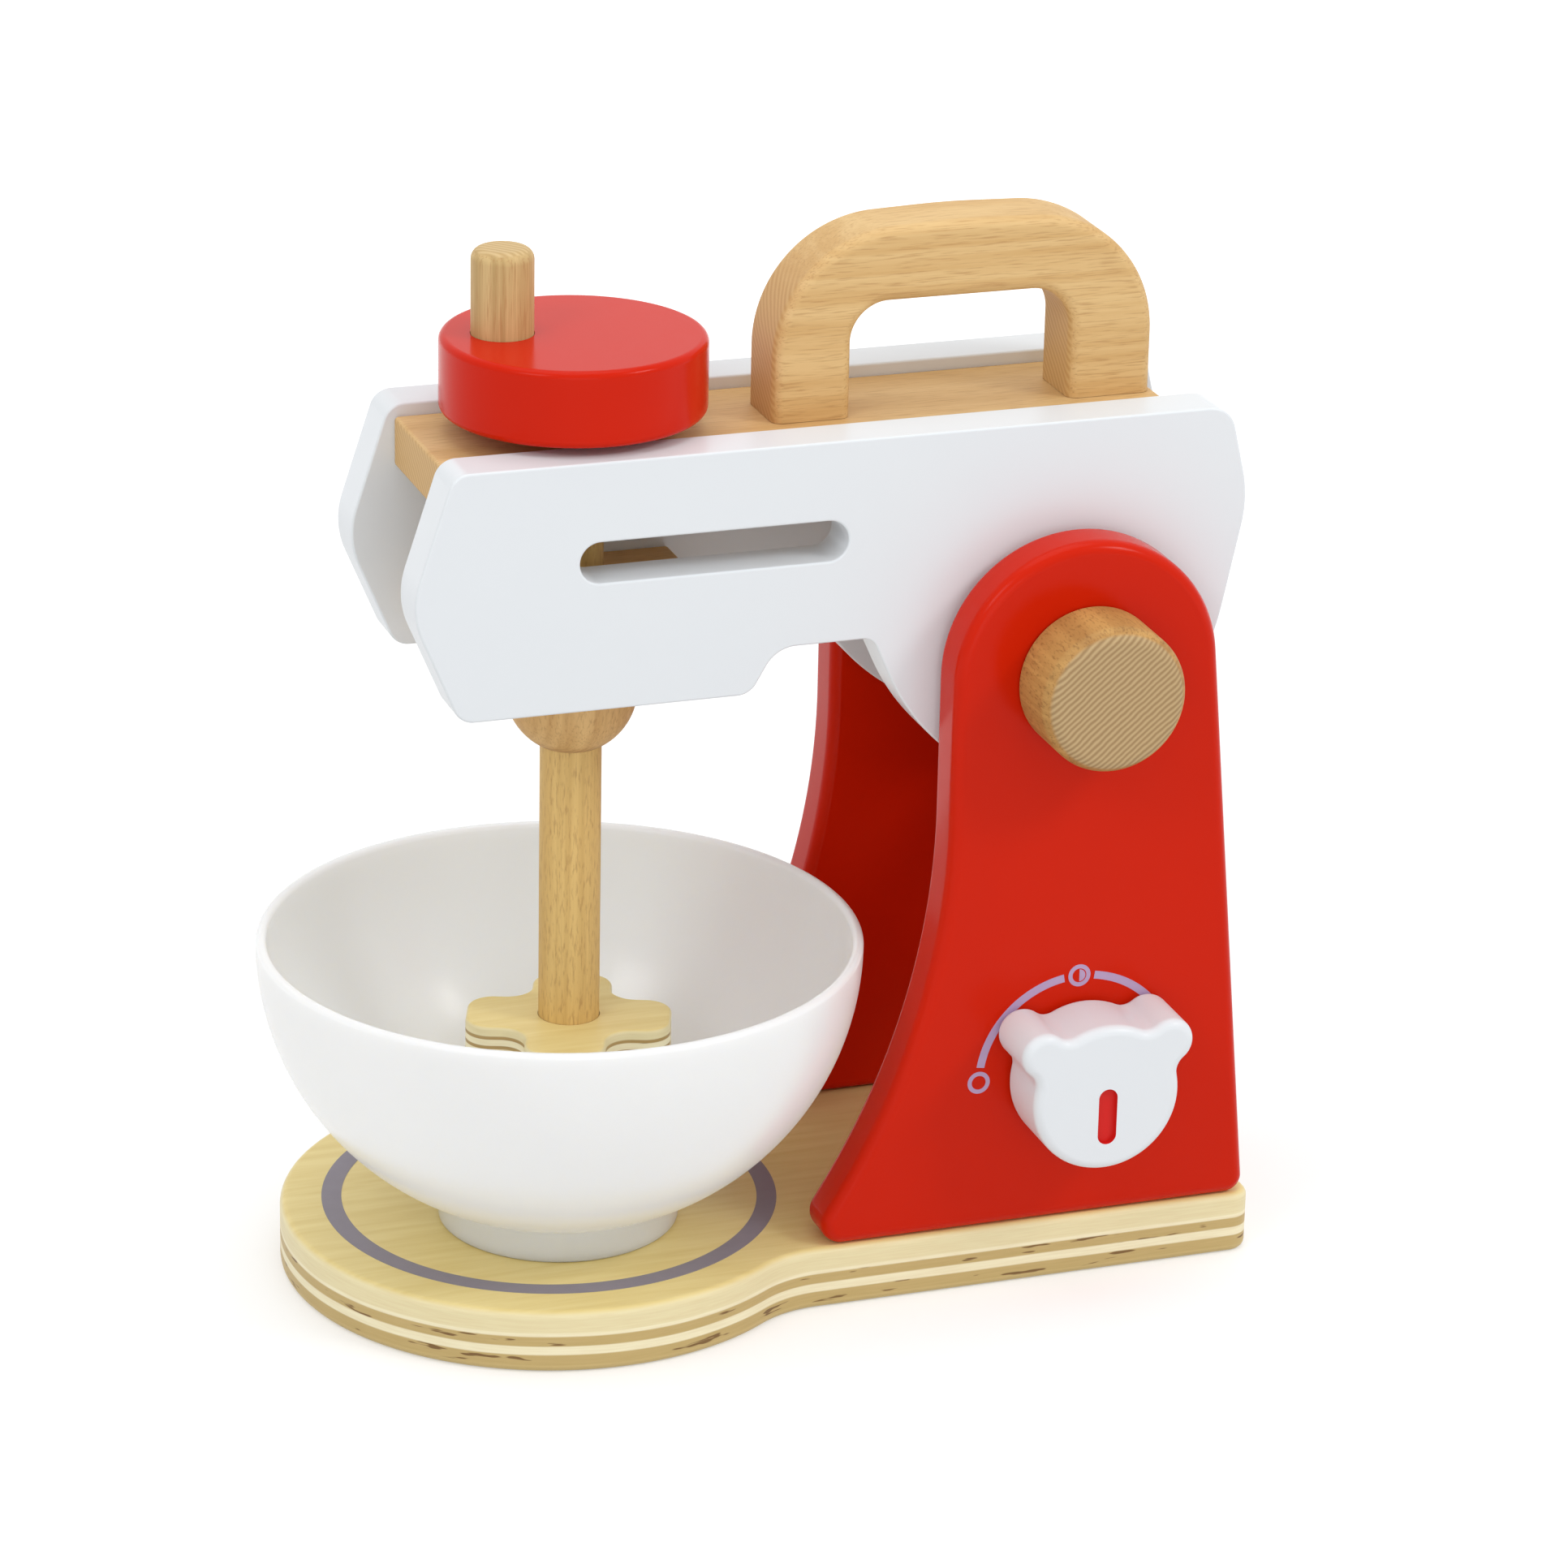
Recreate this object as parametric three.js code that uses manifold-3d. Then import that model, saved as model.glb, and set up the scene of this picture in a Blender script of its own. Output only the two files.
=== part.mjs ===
// Wooden toy stand mixer: a tilting head with a hand crank that turns a beater in a loose bowl.
// Millimetres, +Z up. The origin is on the floor, straight below the beater shaft.
// +X runs from the bowl back to the stand, and -Y is the near side, with the dial.

import * as THREE from 'three';
import { mergeVertices } from 'three/addons/utils/BufferGeometryUtils.js';
import Module from 'manifold-3d';

const wasm = await Module();
wasm.setup();

// Fits and fineness
const GLUE_LINE = 0.1;
const PRESS_CLEARANCE = 0.15;
const TURNING_CLEARANCE = 0.4;
const TURNING_GAP = 0.3;
const REST_GAP = 0.25;
const BORE_END_GAP = 0.5;
const CUT_OVERRUN = 1;
const FACET_SAG = 0.15;
const EDGE_STEPS = 2;
const LEAST_ARC_STEPS = 3;

// The two turning axes: the shaft stands at X 0, the tilt axle lies across behind it
const AXLE_REACH = 106.3;
const AXLE_HEIGHT = 147.8;

// Dowel stock and the small dowels in the glued joints
const DOWEL_RADIUS = 7;
const PIN_RADIUS = 3;
const PIN_IN_PANEL = 8;
const PIN_IN_CROSS_PIECE = 11;

// Width of the machine, from the middle out
const HEAD_GAP = 40;
const HEAD_PANEL_THICKNESS = 12;
const SIDE_GAP = 2;
const STAND_PANEL_THICKNESS = 12.5;

// Base board: a disc under the bowl, and a narrower tail under the stand
const BASE_THICKNESS = 15;
const BASE_EDGE = 1.8;
const BASE_DISC_RADIUS = 62.3;
const BASE_DISC_AHEAD = 4.4;
const BASE_NECK_RADIUS = 25;
const BASE_TAIL_BEHIND = 46.7;
const BASE_CORNER_RADIUS = 5;

// Stand panels: flared foot, hollow front edge, and an arch round the axle
const STAND_EDGE = 2.5;
const STAND_ARCH_RADIUS = 31.5;
const STAND_TOE_AHEAD = 63.4;
const STAND_TOE_RADIUS = 5;
const STAND_HOLLOW_RISE = 53.5;
const STAND_HOLLOW_RADIUS = 171;
const STAND_TAIL_BEHIND = 44.6;
const STAND_TAIL_RADIUS = 4;

// Block across the back of the stand, which the head's heel rests against
const BACK_BLOCK_DROP = 29.8;
const BACK_BLOCK_HEIGHT = 40;
const BACK_BLOCK_THICKNESS = 13.5;
const BACK_PIN_INSET = 10;

// Head panels: places ahead of or behind the shaft or the axle, heights from the axle
const HEAD_EDGE = 2;
const HEAD_RISE = 55.5;
const BROW_AHEAD = 36.6;
const BROW_RADIUS = 5;
const NOSE_AHEAD = 46.6;
const NOSE_RISE = 24.9;
const NOSE_RADIUS = 19;
const CHIN_AHEAD = 35.2;
const CHIN_DROP = 1.7;
const CHIN_RADIUS = 5;
const STEP_FOOT_BEHIND = 31.5;
const STEP_FOOT_RADIUS = 5;
const STEP_LENGTH = 6;
const STEP_TOP_RADIUS = 8;
const THROAT_RISE = 8.7;
const THROAT_AHEAD = 46.3;
const THROAT_RADIUS = 3.5;
const BELLY_AHEAD = 33.6;
const BELLY_DROP = 19.4;
const BELLY_RADIUS = 54;
const HEEL_BEHIND = 11.7;
const HEEL_DROP = 39.8;
const HEEL_RADIUS = 9;
const TAIL_BEHIND = 36.1;
const TAIL_DROP = 0.8;
const TAIL_RADIUS = 50;
const RUMP_BEHIND = 43.1;
const RUMP_RISE = 33.7;
const RUMP_RADIUS = 30;
const CROWN_BEHIND = 37.9;
const CROWN_RADIUS = 6.5;

// Long slot through both head panels
const SLOT_AHEAD = 8.1;
const SLOT_LENGTH = 61.9;
const SLOT_HEIGHT = 9.4;
const SLOT_RISE = 32.5;

// Cross pieces between the panels: the corners of their ends, and the edges along them
const CROSS_CORNER_RADIUS = 2;
const CROSS_EDGE = 0.8;

// Top plate and bearing block between the head panels
const PLATE_RECESS = 2.8;
const PLATE_THICKNESS = 11.5;
const PLATE_AHEAD = 35.5;
const PLATE_BEHIND = 29.2;
const PLATE_PIN_INSET = 20;
const BLOCK_RECESS = 3.1;
const BLOCK_THICKNESS = 15;
const BLOCK_HALF_LENGTH = 29;
const BLOCK_PIN_BEHIND = 18;

// Carry handle
const HANDLE_WIDTH = 18;
const HANDLE_EDGE = 2.5;
const HANDLE_BEHIND_DISC = 13.9;
const HANDLE_BEHIND = 27.8;
const HANDLE_RISE = 42.2;
const HANDLE_CROWN = 1.6;
const HANDLE_CROWN_SHARE = 0.41;
const HANDLE_SHOULDER_RADIUS = 29;
const HANDLE_FRONT_LEG = 18.3;
const HANDLE_REAR_LEG = 20;
const HANDLE_BAR = 17.7;
const HANDLE_GRIP_RADIUS = 9;

// Crank: disc, peg, spacer, and how far they are turned in the photographed pose
const CRANK_TURN = THREE.MathUtils.degToRad(-14.4);
const DISC_RADIUS = 29.8;
const DISC_THICKNESS = 17.5;
const DISC_EDGE = 1.6;
const DISC_SPACER_RADIUS = 11;
const DISC_SPACER_HEIGHT = 4.5;
const DISC_SHAFT_SEAT = 12;
const PEG_OFFSET = 15.7;
const PEG_RISE = 19.5;
const PEG_SEAT = 10;
const PEG_CROWN = 4.5;

// Shaft collar and beater
const COLLAR_RADIUS = 15;
const COLLAR_FLAT_RISE = 9.1;
const BEATER_TURN = THREE.MathUtils.degToRad(-5.6);
const BEATER_TOP = 60;
const BEATER_THICKNESS = 9;
const BEATER_EDGE = 0.8;
const BEATER_SEAT = 6;
const BEATER_ARM_REACH = 23.5;
const BEATER_ARM_HALF_WIDTH = 9.2;
const BEATER_TIP_RADIUS = 6;
const BEATER_NOTCH_RADIUS = 6;

// Bowl, standing loose and a little off centre
const BOWL_AHEAD = 5.3;
const BOWL_NEAR = 9.9;
const BOWL_HEIGHT = 69.65;
const BOWL_RIM_RADIUS = 68.75;
const BOWL_SWELL_RADIUS = 28.4;
const BOWL_WALL = 2.5;
const BOWL_FOOT_RADIUS = 27.6;
const BOWL_FOOT_HEIGHT = 8;
const BOWL_FOOT_WALL = 3.5;
const BOWL_FOOT_RECESS = 7.2;
const BOWL_FLOOR_HEIGHT = 10;
const BOWL_FLOOR_INSET = 1.7;

// Tilt axle, its end knobs and washers
const KNOB_RADIUS = 17;
const KNOB_LENGTH = 17;
const KNOB_EDGE = 3.5;
const KNOB_SEAT = 11;
const WASHER_RADIUS = 13;

// Dial knob: a disc with two round ears, and its screw from inside the stand
const DIAL_BEHIND = 1.3;
const DIAL_HEIGHT = 52.4;
const DIAL_RADIUS = 17.6;
const DIAL_THICKNESS = 18;
const DIAL_EDGE = 2;
const EAR_RADIUS = 5.5;
const EAR_OFFSET = 19.3;
const EAR_ANGLE = THREE.MathUtils.degToRad(38);
const EAR_BLEND_RADIUS = 4;
const POINTER_LENGTH = 13.6;
const POINTER_WIDTH = 4.5;
const POINTER_DROP = 4.3;
const POINTER_DEPTH = 1.2;
const DIAL_SCREW_DEPTH = 12;
const DIAL_SCREW_HEAD = 2.8;
const DIAL_WASHER_RADIUS = 7;
const DIAL_WASHER_THICKNESS = 1.2;

// Countersunk wood screws
const SCREW_RADIUS = 2;
const SCREW_HEAD_RADIUS = 4.2;
const SCREW_HEAD_RIM = 0.8;
const SCREW_SINK = 1;
const SCREW_BITE = 21;
const BASE_SCREW_AHEAD = 40;
const BASE_SCREW_BEHIND = 28;

// Heights and half widths that follow
const HEAD_OUTER = HEAD_GAP / 2 + HEAD_PANEL_THICKNESS;
const STAND_INNER = HEAD_OUTER + SIDE_GAP;
const STAND_OUTER = STAND_INNER + STAND_PANEL_THICKNESS;
const HEAD_TOP = AXLE_HEIGHT + HEAD_RISE;
const PLATE_TOP = HEAD_TOP - PLATE_RECESS;
const PLATE_BOTTOM = PLATE_TOP - PLATE_THICKNESS;
const BLOCK_BOTTOM = AXLE_HEIGHT - CHIN_DROP + BLOCK_RECESS;
const SPACER_BOTTOM = PLATE_TOP + TURNING_GAP;
const DISC_BOTTOM = SPACER_BOTTOM + DISC_SPACER_HEIGHT + GLUE_LINE;
const BACK_BLOCK_TOP = AXLE_HEIGHT - BACK_BLOCK_DROP;
const HALF_LAP = HEAD_GAP / 2 - GLUE_LINE;

const SIDES = [
  { name: 'near', sign: -1 },
  { name: 'far', sign: 1 },
];

// Finishes
const FINISHES = {
  redEnamel: { color: 0xcc2612, roughness: 0.38, metalness: 0 },
  whiteEnamel: { color: 0xe5e9ec, roughness: 0.4, metalness: 0 },
  beech: { color: 0xdbb078, roughness: 0.6, metalness: 0 },
  dowel: { color: 0xd6ab72, roughness: 0.6, metalness: 0 },
  birchPly: { color: 0xe3cb86, roughness: 0.62, metalness: 0 },
  bowlWhite: { color: 0xf1f1ee, roughness: 0.3, metalness: 0 },
  screwSteel: { color: 0xb5b5b2, roughness: 0.35, metalness: 1 },
};

// Points along an arc, fine enough that no facet lies further from it than the sag
function arcPoints(x, y, radius, from, to) {
  const stepAngle = 2 * Math.acos(1 - FACET_SAG / radius);
  const steps = Math.max(LEAST_ARC_STEPS, Math.ceil(Math.abs(to - from) / stepAngle));
  return Array.from({ length: steps + 1 }, (_, i) => {
    const angle = from + ((to - from) * i) / steps;
    return new THREE.Vector2(x + radius * Math.cos(angle), y + radius * Math.sin(angle));
  });
}

// An arc about a centre from one bearing to another, the short way round
function shortArc(centre, radius, from, to) {
  const turn = THREE.MathUtils.euclideanModulo(to - from + Math.PI, 2 * Math.PI) - Math.PI;
  return arcPoints(centre.x, centre.y, radius, from, from + turn);
}

// The arc that rounds one corner between its two neighbours, or the bare corner for no radius
function filletPoints(before, corner, after, radius) {
  if (radius === 0) return [corner];
  const back = before.clone().sub(corner).normalize();
  const on = after.clone().sub(corner).normalize();
  const halfAngle = Math.acos(back.dot(on)) / 2;
  const bisector = back.clone().add(on).normalize();
  const centre = corner.clone().addScaledVector(bisector, radius / Math.sin(halfAngle));
  const reach = radius / Math.tan(halfAngle);
  const start = corner.clone().addScaledVector(back, reach).sub(centre).angle();
  const end = corner.clone().addScaledVector(on, reach).sub(centre).angle();
  return shortArc(centre, radius, start, end);
}

// A closed outline from corners written as [x, y, radius]
function roundedOutline(corners) {
  const places = corners.map(([x, y]) => new THREE.Vector2(x, y));
  const count = corners.length;
  return corners.flatMap(([, , radius], i) =>
    filletPoints(places[(i + count - 1) % count], places[i], places[(i + 1) % count], radius));
}

function roundedRectangle(fromX, toX, fromY, toY, radius) {
  return roundedOutline([
    [fromX, fromY, radius],
    [toX, fromY, radius],
    [toX, toY, radius],
    [fromX, toY, radius],
  ]);
}

// A round-ended slot about a centre
function slotOutline(x, y, length, height) {
  const radius = height / 2;
  const reach = length / 2 - radius;
  return [
    ...arcPoints(x + reach, y, radius, -Math.PI / 2, Math.PI / 2),
    ...arcPoints(x - reach, y, radius, Math.PI / 2, (3 * Math.PI) / 2),
  ];
}

// A board sawn to an outline, with its edges rounded over, lying from Z 0 up
function board(outline, thickness, edge, hole = null) {
  const shape = new THREE.Shape(outline);
  if (hole) shape.holes.push(new THREE.Path(hole));
  const geometry = new THREE.ExtrudeGeometry(shape, {
    depth: thickness - 2 * edge,
    bevelEnabled: edge > 0,
    bevelThickness: edge,
    bevelSize: edge,
    bevelOffset: -edge,
    bevelSegments: EDGE_STEPS,
  });
  return geometry.translate(0, 0, edge);
}

// The same board set on edge, its thickness centred on Y 0 and its outline in X and Z
function standingBoard(outline, thickness, edge, hole = null) {
  return board(outline, thickness, edge, hole).rotateX(Math.PI / 2).translate(0, thickness / 2, 0);
}

// Sides of a round piece, always a whole number for each quarter
function sidesFor(radius) {
  const halfStep = Math.acos(1 - FACET_SAG / radius);
  return 4 * Math.ceil(Math.PI / halfStep / 4);
}

// A round rod that lies along Y, or stands along Z
function crossRod(radius, from, to) {
  const rod = new THREE.CylinderGeometry(radius, radius, to - from, sidesFor(radius));
  return rod.translate(0, (from + to) / 2, 0);
}

function uprightRod(radius, from, to) {
  return crossRod(radius, from, to).rotateX(Math.PI / 2);
}

// A rod along Y on one side of the middle, its ends given as distances out from Y 0
function sideRod(radius, sign, from, to) {
  return sign > 0 ? crossRod(radius, from, to) : crossRod(radius, -to, -from);
}

// A turned piece from a profile of radius and distance, from its lower end round to the upper
function turnedAcross(profile) {
  const widest = Math.max(...profile.map((point) => point.x));
  return new THREE.LatheGeometry(profile, sidesFor(widest));
}

function turned(profile) {
  return turnedAcross(profile).rotateX(Math.PI / 2);
}

// The same along Y on one side of the middle, its distances counted out from Y 0
function turnedOutward(profile, sign) {
  return sign > 0 ? turnedAcross(profile) : turnedAcross(profile).rotateX(Math.PI);
}

function profilePoints(pairs) {
  return pairs.map(([radius, height]) => new THREE.Vector2(radius, height));
}

// A closed solid from a geometry: shared vertices merged, slivers at the axis dropped
function solidOf(geometry) {
  geometry.deleteAttribute('normal');
  geometry.deleteAttribute('uv');
  const merged = mergeVertices(geometry);
  const corners = merged.index.array;
  const triangles = [];
  for (let i = 0; i < corners.length; i += 3) {
    const [a, b, c] = corners.slice(i, i + 3);
    if (a !== b && b !== c && c !== a) triangles.push(a, b, c);
  }
  return new wasm.Manifold(new wasm.Mesh({
    numProp: 3,
    vertProperties: merged.attributes.position.array,
    triVerts: new Uint32Array(triangles),
  }));
}

function cut(geometry, tools) {
  return tools.reduce((solid, tool) => solid.subtract(solidOf(tool)), solidOf(geometry));
}

// A named mesh of one finish
function piece(name, solid, finish) {
  const { vertProperties, triVerts } = solid.getMesh();
  const geometry = new THREE.BufferGeometry();
  geometry.setAttribute('position', new THREE.BufferAttribute(vertProperties, 3));
  geometry.setIndex(new THREE.BufferAttribute(triVerts, 1));
  geometry.computeVertexNormals();
  const mesh = new THREE.Mesh(geometry, new THREE.MeshStandardMaterial(FINISHES[finish]));
  mesh.name = name;
  return mesh;
}

function placed(mesh, x, y, z) {
  mesh.position.set(x, y, z);
  return mesh;
}

// Countersunk screw, head down, its tip up
function countersunkScrew(length) {
  const neck = SCREW_HEAD_RIM + SCREW_HEAD_RADIUS - SCREW_RADIUS;
  return turned(profilePoints([
    [0, 0],
    [SCREW_HEAD_RADIUS, 0],
    [SCREW_HEAD_RADIUS, SCREW_HEAD_RIM],
    [SCREW_RADIUS, neck],
    [SCREW_RADIUS, length - SCREW_RADIUS],
    [0, length],
  ]));
}

// The hole that sinks such a screw in a board standing on Z 0
function countersunkHole(boardThickness) {
  const neck = SCREW_SINK + SCREW_HEAD_RIM + SCREW_HEAD_RADIUS - SCREW_RADIUS;
  return turned(profilePoints([
    [0, -CUT_OVERRUN],
    [SCREW_HEAD_RADIUS + PRESS_CLEARANCE, -CUT_OVERRUN],
    [SCREW_HEAD_RADIUS + PRESS_CLEARANCE, SCREW_SINK + SCREW_HEAD_RIM],
    [SCREW_RADIUS + PRESS_CLEARANCE, neck],
    [SCREW_RADIUS + PRESS_CLEARANCE, boardThickness + CUT_OVERRUN],
    [0, boardThickness + CUT_OVERRUN],
  ]));
}

// The blind hole that it bites into above the board, from Z 0 up
function pilotHole() {
  return uprightRod(SCREW_RADIUS + PRESS_CLEARANCE, -CUT_OVERRUN, SCREW_BITE + BORE_END_GAP);
}

function screwThrough(boardThickness) {
  return solidOf(countersunkScrew(boardThickness - SCREW_SINK + SCREW_BITE));
}

// Glued joint pins: bored into a panel from its inner face, and into the end of a cross piece
function pinInPanel(sign) {
  return sideRod(PIN_RADIUS + PRESS_CLEARANCE, sign, -CUT_OVERRUN, PIN_IN_PANEL + BORE_END_GAP);
}

function pinInCrossPiece(sign, endOut) {
  const depth = PIN_IN_CROSS_PIECE + BORE_END_GAP;
  return sideRod(PIN_RADIUS + PRESS_CLEARANCE, sign, endOut - depth, endOut + CUT_OVERRUN);
}

function pin(name, sign, faceOut, x, z) {
  const rod = sideRod(PIN_RADIUS, sign, faceOut - PIN_IN_CROSS_PIECE, faceOut + PIN_IN_PANEL);
  return placed(piece(name, solidOf(rod), 'dowel'), x, 0, z);
}

// Base

function baseOutline() {
  const disc = -BASE_DISC_AHEAD;
  const neckOut = STAND_OUTER + BASE_NECK_RADIUS;
  const neckReach = Math.sqrt((BASE_DISC_RADIUS + BASE_NECK_RADIUS) ** 2 - neckOut ** 2);
  const neck = disc + neckReach;
  const meeting = Math.atan2(neckOut, neckReach);
  const cornerX = AXLE_REACH + BASE_TAIL_BEHIND - BASE_CORNER_RADIUS;
  const cornerY = STAND_OUTER - BASE_CORNER_RADIUS;
  return [
    ...arcPoints(disc, 0, BASE_DISC_RADIUS, meeting, 2 * Math.PI - meeting),
    ...arcPoints(neck, -neckOut, BASE_NECK_RADIUS, Math.PI - meeting, Math.PI / 2).slice(1),
    ...arcPoints(cornerX, -cornerY, BASE_CORNER_RADIUS, -Math.PI / 2, 0),
    ...arcPoints(cornerX, cornerY, BASE_CORNER_RADIUS, 0, Math.PI / 2),
    ...arcPoints(neck, neckOut, BASE_NECK_RADIUS, -Math.PI / 2, meeting - Math.PI).slice(0, -1),
  ];
}

const BASE_SCREWS = [
  { name: 'front', x: AXLE_REACH - BASE_SCREW_AHEAD },
  { name: 'rear', x: AXLE_REACH + BASE_SCREW_BEHIND },
];
const BASE_SCREW_OUT = (STAND_INNER + STAND_OUTER) / 2;

function baseBoard() {
  const holes = SIDES.flatMap(({ sign }) =>
    BASE_SCREWS.map(({ x }) => countersunkHole(BASE_THICKNESS).translate(x, sign * BASE_SCREW_OUT, 0)));
  return piece('base_board', cut(board(baseOutline(), BASE_THICKNESS, BASE_EDGE), holes), 'birchPly');
}

function baseScrews() {
  return SIDES.flatMap((side) => BASE_SCREWS.map((place) => {
    const mesh = piece(`base_screw_${place.name}_${side.name}`, screwThrough(BASE_THICKNESS), 'screwSteel');
    return placed(mesh, place.x, side.sign * BASE_SCREW_OUT, SCREW_SINK);
  }));
}

// Stand

const STAND_FOOT = BASE_THICKNESS + GLUE_LINE;
const DIAL_X = AXLE_REACH + DIAL_BEHIND;
const DIAL_BORE = SCREW_RADIUS + TURNING_CLEARANCE;

function standOutline() {
  const toe = new THREE.Vector2(AXLE_REACH - STAND_TOE_AHEAD, STAND_FOOT);
  const front = AXLE_REACH - STAND_ARCH_RADIUS;
  const hollow = new THREE.Vector2(front, BASE_THICKNESS + STAND_HOLLOW_RISE);
  const spring = new THREE.Vector2(front, AXLE_HEIGHT);
  const tail = new THREE.Vector2(AXLE_REACH + STAND_TAIL_BEHIND, STAND_FOOT);
  const toAxle = new THREE.Vector2(AXLE_REACH, AXLE_HEIGHT).sub(tail);
  const touch = toAxle.angle() - Math.PI + Math.acos(STAND_ARCH_RADIUS / toAxle.length());
  const arch = arcPoints(AXLE_REACH, AXLE_HEIGHT, STAND_ARCH_RADIUS, touch, Math.PI);
  return [
    ...filletPoints(spring, hollow, toe, STAND_HOLLOW_RADIUS),
    ...filletPoints(hollow, toe, tail, STAND_TOE_RADIUS),
    ...filletPoints(toe, tail, arch[0], STAND_TAIL_RADIUS),
    ...arch,
  ];
}

// Corners of the head's back edge, which the back block follows
const HEEL = new THREE.Vector2(AXLE_REACH + HEEL_BEHIND, AXLE_HEIGHT - HEEL_DROP);
const TAIL = new THREE.Vector2(AXLE_REACH + TAIL_BEHIND, AXLE_HEIGHT - TAIL_DROP);

// The block's front face stands where its rounded top corner just meets the heel's slope
function backBlockFront() {
  const slope = TAIL.clone().sub(HEEL).normalize();
  const roundCentreRise = BACK_BLOCK_TOP - CROSS_CORNER_RADIUS - HEEL.y;
  const out = (CROSS_CORNER_RADIUS + REST_GAP + slope.x * roundCentreRise) / slope.y;
  return HEEL.x + out - CROSS_CORNER_RADIUS;
}

const BACK_PINS = [
  { name: 'upper', z: BACK_BLOCK_TOP - BACK_PIN_INSET },
  { name: 'lower', z: BACK_BLOCK_TOP - BACK_BLOCK_HEIGHT + BACK_PIN_INSET },
];
const BACK_PIN_X = backBlockFront() + BACK_BLOCK_THICKNESS / 2;

function standPanel(side) {
  const { name, sign } = side;
  const centreOut = (STAND_INNER + STAND_OUTER) / 2;
  const reach = STAND_PANEL_THICKNESS / 2 + CUT_OVERRUN;
  const innerFace = -sign * STAND_PANEL_THICKNESS / 2;
  const tools = [
    crossRod(DOWEL_RADIUS + TURNING_CLEARANCE, -reach, reach).translate(AXLE_REACH, 0, AXLE_HEIGHT),
    ...BASE_SCREWS.map(({ x }) => pilotHole().translate(x, 0, BASE_THICKNESS)),
    ...BACK_PINS.map(({ z }) => pinInPanel(sign).translate(BACK_PIN_X, innerFace, z)),
  ];
  if (name === 'near') tools.push(crossRod(DIAL_BORE, -reach, reach).translate(DIAL_X, 0, DIAL_HEIGHT));
  const plank = standingBoard(standOutline(), STAND_PANEL_THICKNESS, STAND_EDGE);
  return placed(piece(`stand_panel_${name}`, cut(plank, tools), 'redEnamel'), 0, sign * centreOut, 0);
}

function backBlock() {
  const front = backBlockFront();
  const endOut = STAND_INNER - GLUE_LINE;
  const bottom = BACK_BLOCK_TOP - BACK_BLOCK_HEIGHT;
  const outline = roundedRectangle(
    front, front + BACK_BLOCK_THICKNESS, bottom, BACK_BLOCK_TOP, CROSS_CORNER_RADIUS);
  const tools = SIDES.flatMap(({ sign }) =>
    BACK_PINS.map(({ z }) => pinInCrossPiece(sign, endOut).translate(BACK_PIN_X, 0, z)));
  const block = standingBoard(outline, 2 * endOut, CROSS_EDGE);
  return piece('stand_back_block', cut(block, tools), 'redEnamel');
}

function backPins() {
  return SIDES.flatMap((side) => BACK_PINS.map((place) =>
    pin(`brace_dowel_${place.name}_${side.name}`, side.sign, STAND_INNER, BACK_PIN_X, place.z)));
}

// Dial

function polar(radius, angle) {
  return new THREE.Vector2(radius * Math.cos(angle), radius * Math.sin(angle));
}

function bearing(from, to) {
  return to.clone().sub(from).angle();
}

// A disc with two ears, each joined to it by a small hollow, about the dial's centre
function dialOutline() {
  const middle = new THREE.Vector2();
  const hollowOut = DIAL_RADIUS + EAR_BLEND_RADIUS;
  const hollowToEar = EAR_RADIUS + EAR_BLEND_RADIUS;
  const cosine = (EAR_OFFSET ** 2 + hollowOut ** 2 - hollowToEar ** 2) / (2 * EAR_OFFSET * hollowOut);
  const spread = Math.acos(cosine);
  const ears = [
    { angle: EAR_ANGLE, rimEnd: Math.PI - EAR_ANGLE - spread },
    { angle: Math.PI - EAR_ANGLE, rimEnd: 2 * Math.PI + EAR_ANGLE - spread },
  ];
  return ears.flatMap(({ angle, rimEnd }) => {
    const ear = polar(EAR_OFFSET, angle);
    const before = polar(hollowOut, angle - spread);
    const after = polar(hollowOut, angle + spread);
    const start = bearing(ear, before);
    const sweep = THREE.MathUtils.euclideanModulo(bearing(ear, after) - start, 2 * Math.PI);
    return [
      ...shortArc(before, EAR_BLEND_RADIUS, bearing(before, middle), bearing(before, ear)),
      ...arcPoints(ear.x, ear.y, EAR_RADIUS, start, start + sweep).slice(1, -1),
      ...shortArc(after, EAR_BLEND_RADIUS, bearing(after, ear), bearing(after, middle)),
      ...arcPoints(0, 0, DIAL_RADIUS, angle + spread, rimEnd).slice(1, -1),
    ];
  });
}

function dialKnob() {
  const face = -DIAL_THICKNESS / 2;
  const groove = standingBoard(
    slotOutline(0, 0, POINTER_LENGTH, POINTER_WIDTH), POINTER_DEPTH + CUT_OVERRUN, 0);
  const grooveMiddle = face + (POINTER_DEPTH - CUT_OVERRUN) / 2;
  const boreEnd = DIAL_THICKNESS / 2 - DIAL_SCREW_DEPTH - BORE_END_GAP;
  const tools = [
    groove.rotateY(Math.PI / 2).translate(0, grooveMiddle, -POINTER_DROP),
    crossRod(SCREW_RADIUS + PRESS_CLEARANCE, boreEnd, DIAL_THICKNESS / 2 + CUT_OVERRUN),
  ];
  const knob = standingBoard(dialOutline(), DIAL_THICKNESS, DIAL_EDGE);
  return piece('dial_knob', cut(knob, tools), 'whiteEnamel');
}

function dialWasher() {
  const outFace = STAND_INNER - TURNING_GAP;
  const inFace = outFace - DIAL_WASHER_THICKNESS;
  const ring = sideRod(DIAL_WASHER_RADIUS, -1, inFace, outFace);
  const bore = sideRod(SCREW_RADIUS + PRESS_CLEARANCE, -1, inFace - CUT_OVERRUN, outFace + CUT_OVERRUN);
  return piece('dial_washer', cut(ring, [bore]), 'screwSteel');
}

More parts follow.
